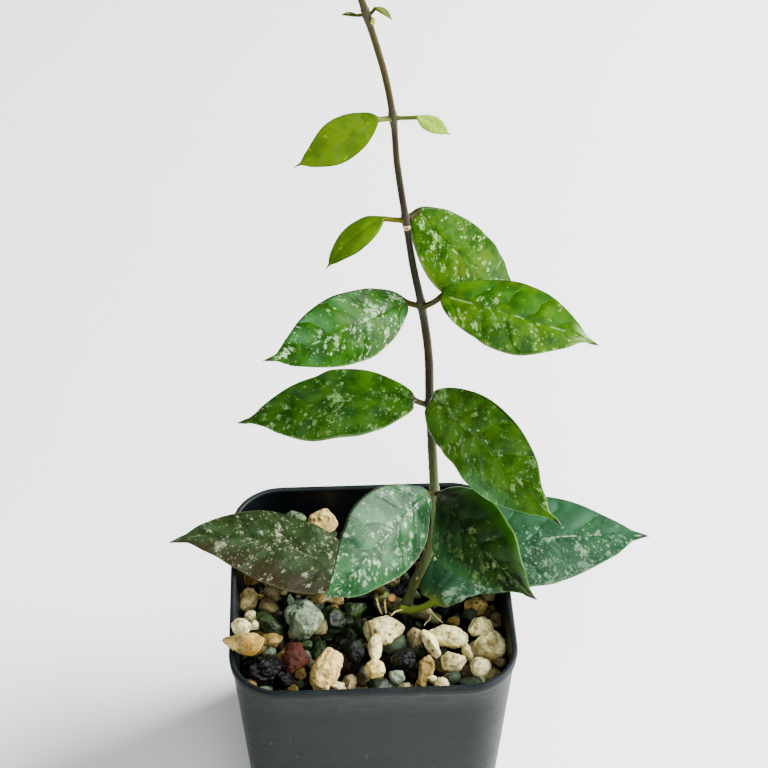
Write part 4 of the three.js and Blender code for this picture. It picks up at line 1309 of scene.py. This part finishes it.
def press_pits(moved, normals, form):
    """Hollows in the face that looks to the front, and the painted shade of each point in them."""
    shade = np.zeros(len(moved))
    offset = moved - moved.mean(axis=0)
    facing = normals @ OUT > 0
    for right, up, radius, depth, darkness in form.pits:
        nearness = 1 - np.hypot(offset @ RIGHT - right, offset @ UP - up) / radius
        moved = moved - np.outer(facing * smoothstep(0, 0.7, nearness) * depth, OUT)
        shade = np.maximum(shade, facing * smoothstep(0, 0.4, nearness) * darkness)
    return moved, shade


def cut_facets(spread, stone, rng, strength):
    """Presses a lump's far sides in to soft flat faces."""
    for direction in unit(rng.normal(size=(stone.facets, 3))):
        reach = spread @ direction
        limit = reach.max() * (1 - strength * stone.facet_depth * rng.uniform(0.3, 1.5))
        spread = spread - np.outer(np.maximum(reach - limit, 0) * 0.9, direction)
    return spread


def stone_pits(points, stone, seed):
    """How deep each point lies in a pore of one of two sizes, from 0 to 1."""
    pit = 0
    for scale, depth in ((1, 1), (0.5, 0.5)):
        distance, value = nearest_cell(points / (stone.pit_size * scale) + seed * 1.7, seed + 3)
        chosen = lattice(columns(np.floor(value * 997), 0, 0), 3) < stone.pit_share
        hollow = smoothstep(0, 1, 1 - distance / (0.16 + 0.34 * value))
        pit = np.maximum(pit, depth * chosen * hollow)
    return pit


def break_stone(points, normals, stone, size, seed, form):
    """Moves a smooth lump's points to facets, lumps, roughness and pits."""
    middle = points.mean(axis=0)
    spread = cut_facets(points - middle, stone, np.random.default_rng(seed), form.facets)
    moved = middle + shape_stone(spread, form)
    lumps = stone.lumps * form.lumps * size
    lobe, _ = nearest_cell(moved / (size * 0.38) + seed * 2.9, seed + 70)
    lump = (0.55 - lobe) * lumps * 0.13
    lump += fractal(moved / (size * 0.25) + seed * 3.3, 2, seed) * lumps * 0.025
    rough = fractal(moved / 1.1 + seed, 4, seed + 5) * stone.rough * (0.3 + 0.7 * form.lumps)
    pit = stone_pits(moved, stone, seed)
    moved = moved + normals * (lump + rough - pit * stone.pit_depth)[:, None]
    moved, shade = press_pits(moved, normals, form)
    return moved, np.maximum(pit, shade)


def point_vectors(items, field):
    """One vector for each of a mesh's points or point normals."""
    values = np.zeros(len(items) * 3, np.float32)
    items.foreach_get(field, values)
    return values.reshape(-1, 3)


def stone_nodes():
    return [name for name in sorted(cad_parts) if name[:-3] in STONES]


def remeshed_stone(name, size):
    """A finely meshed, slightly worn copy of a stone's own solid in the frame."""
    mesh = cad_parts[name].data.copy()
    stone = add_object(name + "_stone", mesh)
    weld = bmesh.new()
    weld.from_mesh(mesh)
    bmesh.ops.remove_doubles(weld, verts=weld.verts, dist=WELD_DISTANCE * MM)
    weld.to_mesh(mesh)
    weld.free()
    remesh = stone.modifiers.new("fine", "REMESH")
    remesh.mode, remesh.voxel_size = "VOXEL", max(FINEST_VOXEL, size / VOXELS_ACROSS) * MM
    worn = stone.modifiers.new("worn", "SMOOTH")
    worn.factor, worn.iterations = WEAR, WEAR_STEPS
    bake_modifiers(stone)
    return stone


def make_top_stone(name, paints):
    """A stone of the top layer, worked up from its own solid in the frame."""
    kind = name[:-3]
    form = FORMS.get(name, Form())
    seed = sum(ord(letter) * (i + 3) for i, letter in enumerate(name))
    low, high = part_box(name)
    size = max(high - low) / MM
    piece = remeshed_stone(name, size)
    mesh = piece.data
    places = point_vectors(mesh.vertices, "co").astype(float) / MM
    moved, pit = break_stone(places, point_vectors(mesh.vertex_normals, "vector"), STONES[kind], size,
                             seed, form)
    mesh.vertices.foreach_set("co", (moved * MM).astype(np.float32).ravel())
    mesh.update()
    mesh.shade_smooth()
    rng = np.random.default_rng(seed)
    toward = unit(rng.normal(size=3))
    normals = point_vectors(mesh.vertex_normals, "vector")
    patch = fractal(moved / 3.2 + seed, 3, seed + 9)
    stain = form.stain * smoothstep(-0.2, 0.9, normals @ toward * 0.6 + patch * 0.8)
    if kind.startswith("pumice"):  # painted shade on the undersides of the pale stones, in their stain colour
        stain = np.maximum(stain, 0.75 * smoothstep(-0.1, 0.8, patch * 0.3 - normals[:, 2]))
    tone = rng.uniform(0.3, 0.7) if form.tone is None else form.tone
    add_values(mesh, {"pit": pit, "tone": np.full(len(pit), tone), "stain": stain})
    finish_piece(piece, kind, paints[kind], name)


def add_moss(place, fine, base):
    """Green patches on the damp grit, which thin out away from the cutting."""
    near = place.vector("DISTANCE", MOSS_MIDDLE, output="Value").step(*MOSS_REACH, 1, 0)
    patch = place.noise(0.32, 4).step(0.46, 0.6, 0, 0.7)
    return (near * patch).mix(base, fine.mix((6, 16, 1), (40, 58, 10)))


def stone_paint(kind, stone):
    """A kind's colours by each stone's tone, with blots, stains, damp moss, and painted shade in pores
    and pits and under the pale stones.
    """
    paint = Paint(kind, roughness=stone.roughness, specular=stone.specular)
    place = paint.place
    cloud, fine = place.noise(0.3, 4, 0.6), place.noise(2.6, 4, 0.7)
    tone = paint.attribute("tone")
    base = (tone + (cloud - 0.5) * 1.6).step(0.1, 1).mix(stone.dark, stone.light)
    base = tone.step(1, 1.5, 0, 0.8).mix(base, (228, 200, 92))
    base = place.noise(0.5, 5, 0.62).step(0.45, 0.62, 0, 0.68).mix(base, stone.dark)
    base = fine.step(0.57, 0.68, 0, 0.5).mix(base, stone.pit_colour)
    # the stain attribute holds stains, and painted shade under the pale stones
    base = paint.attribute("stain").mix(base, stone.stain)
    # pores and pits in the pit colour: painted shade in the hollows
    chance, _, distance = place.cells(1.3)
    pore = (chance.step(0.5, 1, 0, 0.32) - distance).step(0, 0.1)
    hollow = (pore * 0.8).greater(paint.attribute("pit") * 0.7)
    base = hollow.mix(base, stone.pit_colour)
    if kind in MOSSY_KINDS:
        base = add_moss(place, fine, base)
    return paint.finish(base, fine - pore, stone.grain,
                        roughness=cloud.step(0.3, 0.7, stone.roughness - 0.08, stone.roughness + 0.08))


# -------------------------------- grit

GRAIN_SIZES = ((80, 2.4, 3.2), (130, 1.6, 2.4), (280, 0.7, 1.5))  # count, least and most radius
SHAPES_PER_KIND = 7
COARSE, FINE = 3, 4         # subdivisions of small and of large grains
LARGE_GRAIN = 1.7           # radius above which a grain is large
DULL_SHARE = 0.72           # of the small grains, which are mostly dark crumbs between stones
DULL_KINDS = ("zeolite_dark", "lava_black", "lava_black", "gravel")
SHADED_KINDS = ("zeolite_dark", "zeolite_dark", "lava_black", "lava_black")
SHADE_MIDDLE, SHADE_REACH = (8, 3), (20, 10)    # where the grit is darker, as painted shade round the shoot's foot
OPEN_TONE, SHADED_TONE = 0.8, 0.25              # the lightest tone of a grain, and of one in the painted shade

SETTLE_STEPS, FALL = 110, 0.12
PUSH, PUSH_LIMIT = 0.35, 0.8    # share of an overlap, and the most, that a grain moves in a step
PACKING, NESTING = 0.9, 0.8     # shares of a grain's radius that stay clear of others and of stones
FAR_APART = 99                  # distance that a grain is given to itself
PLANT_LEVEL, PLANT_CLEARANCE = 64.2, 2.6    # grains keep below this or this far from the plant
RIM_STONE_LEVEL = 74            # stones whose underside is above this lie on the rim, not in the grit

# Smaller grains that show between the top stones: middle, width, height, kind, tone.
PLACED_GRAINS = (
    (-32.4, -3.2, 66.2, 3.4, 3.2, "pumice", 0.8), (-31.8, -6.8, 66.4, 3.4, 3.2, "pumice", 0.8),
    (-26.2, -12.4, 67.3, 6, 3.2, "pumice_tan", 0.35), (-27.2, -15.5, 66, 3.4, 3, "zeolite", 0.7),
    (-20.9, -8.3, 64.6, 3.2, 4, "gravel", 0.7), (-9.6, 0.6, 64, 3, 3, "pumice_tan", 0.4),
    (-1.5, -5.8, 65, 2.6, 3, "gravel", 0.3), (6.2, -12.1, 63.4, 7.2, 5.4, "zeolite", 0.1),
    (11.2, -13.7, 63.4, 3.6, 3.4, "zeolite_dark", 0.9), (6.1, -24.4, 65, 4.2, 4, "zeolite", 0.9),
    (-2.9, -24.6, 64.3, 3.8, 5.4, "gravel", 0.25), (-8.8, -27.2, 64.6, 5.2, 3.2, "pumice", 0.9),
    (1.7, -26.7, 64, 6.6, 3, "zeolite_dark", 0), (7.7, -27.4, 64.4, 3.6, 2.6, "gravel", 0.5),
    (8.8, -29.5, 65, 1.7, 1.4, "zeolite", 1), (12.4, -27.6, 64.6, 3, 2.6, "pumice_tan", 0),
    (15.1, -25.8, 65, 3, 2.8, "pumice", 0.8), (20.4, -25, 64.4, 4.8, 3.6, "zeolite", 0.2),
    (25.2, -27.5, 65, 6, 2.8, "zeolite", 0), (24.5, -22.8, 63.6, 4.2, 3.6, "gravel", 0.1),
    (31.4, -26, 66, 4.4, 3.4, "gravel", 0.9), (33.2, -21.8, 66, 3.6, 3.4, "gravel", 0.55),
    (27.2, -3.5, 64.5, 4, 4, "zeolite", 0), (33, 3.1, 64.4, 3.8, 3, "gravel", 0.75),
    (22.8, -5.6, 64.4, 3.6, 2.2, "pumice_tan", 0.1), (-28.9, -26.8, 65, 5, 3.2, "zeolite", 0.5),
    (-32, -24.2, 65, 4, 2.6, "gravel", 0.6), (-20.9, -27.7, 65, 3, 2.2, "pumice_tan", 0),
    (-17.3, -13.2, 65, 3, 2.8, "zeolite_dark", 1), (-14.8, -14.1, 63.6, 5, 4, "zeolite_dark", 0.5),
    (21.2, 0.5, 63, 7, 5, "lava_black", 0.2), (-13.7, 4.8, 64.4, 5, 3.4, "pumice_tan", 0.7),
    (-8.9, 4.4, 64, 5, 3.4, "pumice_tan", 0.9), (-22.9, 11, 64.4, 4.6, 4, "pumice", 0.3),
)


def bed_height(x, y):
    height = np.full(np.shape(x), float(BED_LEVEL))
    for mound_x, mound_y, spread, rise in BED_MOUNDS:
        height += rise * np.exp(-((x - mound_x) ** 2 + (y - mound_y) ** 2) / spread ** 2)
    return height


def make_bed():
    """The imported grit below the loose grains, closed and just inside the pot's wall."""
    inset = -Pot.wall - 0.3
    outline = pot_outline(BED_LEVEL, inset)[:, :2]
    rings = [pot_outline(Pot.floor + 0.3, inset)]
    for share in np.concatenate([[1], np.linspace(0.985, 0.02, 60)]):
        x, y = (outline * share).T
        level = bed_height(x, y) - BED_DROP + 0.7 * fractal(columns(x * 0.9, y * 0.9, 0), 3, 31)
        rings.append(columns(x, y, level))
    bed = make_skin("packed_grit", rings)
    paint = Paint("grit", roughness=0.8, specular=0.1)
    crumb = paint.place.noise(0.8, 5, 0.7)
    # near-black, as painted shade in the deep gaps between grains, with specks of brown earth
    shaded_earth = crumb.step(0.64, 0.7, 0, 0.4).mix(crumb.mix((2, 2, 2), (20, 16, 9)), (70, 54, 32))
    material = paint.finish(add_moss(paint.place, crumb, shaded_earth), crumb, 0.8)
    finish_piece(bed, "grit", material, "grit_bed")


def grain_shape(stone, seed, level):
    """A unit grain: an icosphere stretched, broken to facets and pitted."""
    mesh = bmesh.new()
    bmesh.ops.create_icosphere(mesh, subdivisions=level, radius=1)
    points = np.array([v.co for v in mesh.verts])
    faces = np.array([[v.index for v in f.verts] for f in mesh.faces])
    mesh.free()
    rng = np.random.default_rng(seed)
    spread = cut_facets(points * (1.15, rng.uniform(0.75, 1), rng.uniform(0.6, 0.85)), stone, rng, 2)
    spread *= (1 + 0.14 * fractal(points * 1.3 + seed, 4, seed))[:, None]
    distance, value = nearest_cell(points * 1.9 + seed, seed)
    pit = smoothstep(0, 1, 1 - distance / (0.2 + 0.3 * value))
    spread *= (1 - 0.12 * pit)[:, None]
    return spread, faces, pit


def settled_stones():
    """Middles and half sizes of the top stones and the placed grains, which stay where they are."""
    boxes = np.array([[tuple(corner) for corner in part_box(name)] for name in stone_nodes()]) / MM
    lows, highs = boxes[boxes[:, 0, 2] < RIM_STONE_LEVEL].transpose(1, 0, 2)
    placed = np.array([grain[:5] for grain in PLACED_GRAINS])
    return (np.vstack([(lows + highs) / 2, placed[:, :3]]),
            np.vstack([(highs - lows) / 2, placed[:, [3, 3, 4]] / 2]))


def push_apart(places, radii):
    gap = places[:, None] - places[None]
    distance = np.linalg.norm(gap, axis=2) + np.eye(len(radii)) * FAR_APART
    overlap = np.clip((radii[:, None] + radii[None]) * PACKING - distance, 0, None)
    push = (gap / distance[..., None] * overlap[..., None] * PUSH).sum(axis=1)
    places += np.clip(push, -PUSH_LIMIT, PUSH_LIMIT)


def push_out(places, radii, middle, half):
    """Moves grains that are inside a stone's ellipsoid half of the way out of it."""
    wide = half + radii[:, None] * NESTING
    offset = (places - middle) / wide
    inside = np.linalg.norm(offset, axis=1)
    near = inside < 1
    out = offset[near] / np.maximum(inside[near], 0.05)[:, None] * wide[near]
    places[near] += (middle + out - places[near]) * 0.5


def keep_in_pot(places, radii, reach):
    """Moves grains back inside the pot's straight walls and its round corners."""
    room = (reach - radii * PACKING)[:, None]
    places[:, :2] = np.clip(places[:, :2], -room, room)
    corner = Pot.corners[1] - 2
    bend = np.abs(places[:, :2]) - (reach - corner)
    far = np.linalg.norm(bend, axis=1)
    limit = corner - radii * PACKING
    past = (bend > 0).all(axis=1) & (far > limit)
    shrink = np.where(past, limit / np.maximum(far, 1e-6), 1)[:, None]
    held = np.sign(places[:, :2]) * ((reach - corner) + bend * shrink)
    places[:, :2] = np.where(past[:, None], held, places[:, :2])


def settle_grains(rng):
    """Drops round grains on the bed among the top stones and lets them push apart."""
    radii = np.concatenate([rng.uniform(low, high, count) for count, low, high in GRAIN_SIZES])
    count = len(radii)
    reach = pot_outline(BED_LEVEL, -Pot.wall)[:, 0].max() - 0.3
    x, y = rng.uniform(-reach, reach, (count, 2)).T
    places = columns(x, y, bed_height(x, y) - BED_DROP + radii + rng.uniform(0, 3, count))
    stones = list(zip(*settled_stones()))
    for _ in range(SETTLE_STEPS):
        places[:, 2] -= FALL
        push_apart(places, radii)
        for middle, half in stones:
            push_out(places, radii, middle, half)
        keep_in_pot(places, radii, reach)
        ground = bed_height(places[:, 0], places[:, 1]) - BED_DROP + radii * 0.5
        places[:, 2] = np.maximum(places[:, 2], ground)
    clear = clear_of_plant(places, radii)
    return places[clear], radii[clear]


def clear_of_plant(places, radii):
    """Which grains stay low beside the cutting, the roots and the petioles."""
    lines = [smooth_path(CUTTING_LINE, 20)[0], *ROOTS.values()]
    for name in ("leaf_cutting_left", "leaf_cutting_right"):
        lines.append(petiole_line(LEAVES[name], np.linspace(0, 1, 8))[0])
    plant = np.vstack(lines)
    across = np.linalg.norm(places[:, None, :2] - plant[None, :, :2], axis=2).min(axis=1)
    tall = places[:, 2] + radii > PLANT_LEVEL
    return ~(tall & (across < PLANT_CLEARANCE + radii))


def join_grains(name, grains):
    """One piece from many grains, each given as points, faces, pits, tone and stain."""
    points, faces, pits, tones, stains = zip(*grains)
    sizes = [len(own) for own in points]
    starts = np.cumsum([0, *sizes[:-1]])
    triangles = np.vstack([own + start for own, start in zip(faces, starts)])
    return make_piece(name, np.vstack(points), triangles.tolist(), pit=np.concatenate(pits),
                      tone=np.repeat(tones, sizes), stain=np.repeat(stains, sizes))


def make_grains(paints):
    """All the loose grains between and behind the top stones, one piece for each kind."""
    rng = np.random.default_rng(42)
    places, radii = settle_grains(rng)
    kinds = rng.choice(list(STONES), size=len(radii), p=[stone.common for stone in STONES.values()])
    dull = (radii < LARGE_GRAIN) & (rng.random(len(radii)) < DULL_SHARE)
    kinds[dull] = rng.choice(DULL_KINDS, size=dull.sum())
    # painted shade round the shoot's foot: dark kinds of grain with low tones
    shaded = (np.abs(places[:, :2] - SHADE_MIDDLE) < SHADE_REACH).all(axis=1)
    kinds[shaded] = rng.choice(SHADED_KINDS, size=shaded.sum())
    for number, (kind, stone) in enumerate(STONES.items()):
        shapes = {level: [grain_shape(stone, 100 * number + i, level) for i in range(SHAPES_PER_KIND)]
                  for level in (COARSE, FINE)}
        grains = []
        for place, radius, is_shaded in zip(*(values[kinds == kind] for values in (places, radii, shaded))):
            level = FINE if radius > LARGE_GRAIN else COARSE
            points, triangles, pit = shapes[level][rng.integers(SHAPES_PER_KIND)]
            spin = np.array(Matrix.Rotation(rng.uniform(0, 6.28), 3, "Z")
                            @ Matrix.Rotation(rng.normal(0, 0.5), 3, "X"))
            tone = rng.uniform(0, SHADED_TONE if is_shaded else OPEN_TONE)
            grains.append((points @ spin.T * radius + place, triangles, pit, tone,
                           rng.uniform(0, 0.5) ** 2))
        for x, y, z, width, height, own_kind, tone in PLACED_GRAINS:
            if own_kind == kind:
                points, triangles, pit = shapes[FINE][rng.integers(SHAPES_PER_KIND)]
                scale = (width, width * 0.8, height) / (points.max(axis=0) - points.min(axis=0))
                grains.append((points * scale + (x, y, z), triangles, pit, tone, 0))
        finish_piece(join_grains("loose_" + kind, grains), kind, paints[kind])


# -------------------------------- the whole plant

make_camera()
make_floor()
make_lights()
make_pot()
make_vine()
make_stem_scars()
make_cutting()
make_side_shoot()
make_roots()
make_bract()
make_buds()
for leaf_name, leaf_shape in LEAVES.items():
    make_leaf(leaf_name, leaf_shape, LOOKS[leaf_name])
stone_paints = {stone_kind: stone_paint(stone_kind, stone) for stone_kind, stone in STONES.items()}
for stone_name in stone_nodes():
    make_top_stone(stone_name, stone_paints)
make_bed()
make_grains(stone_paints)
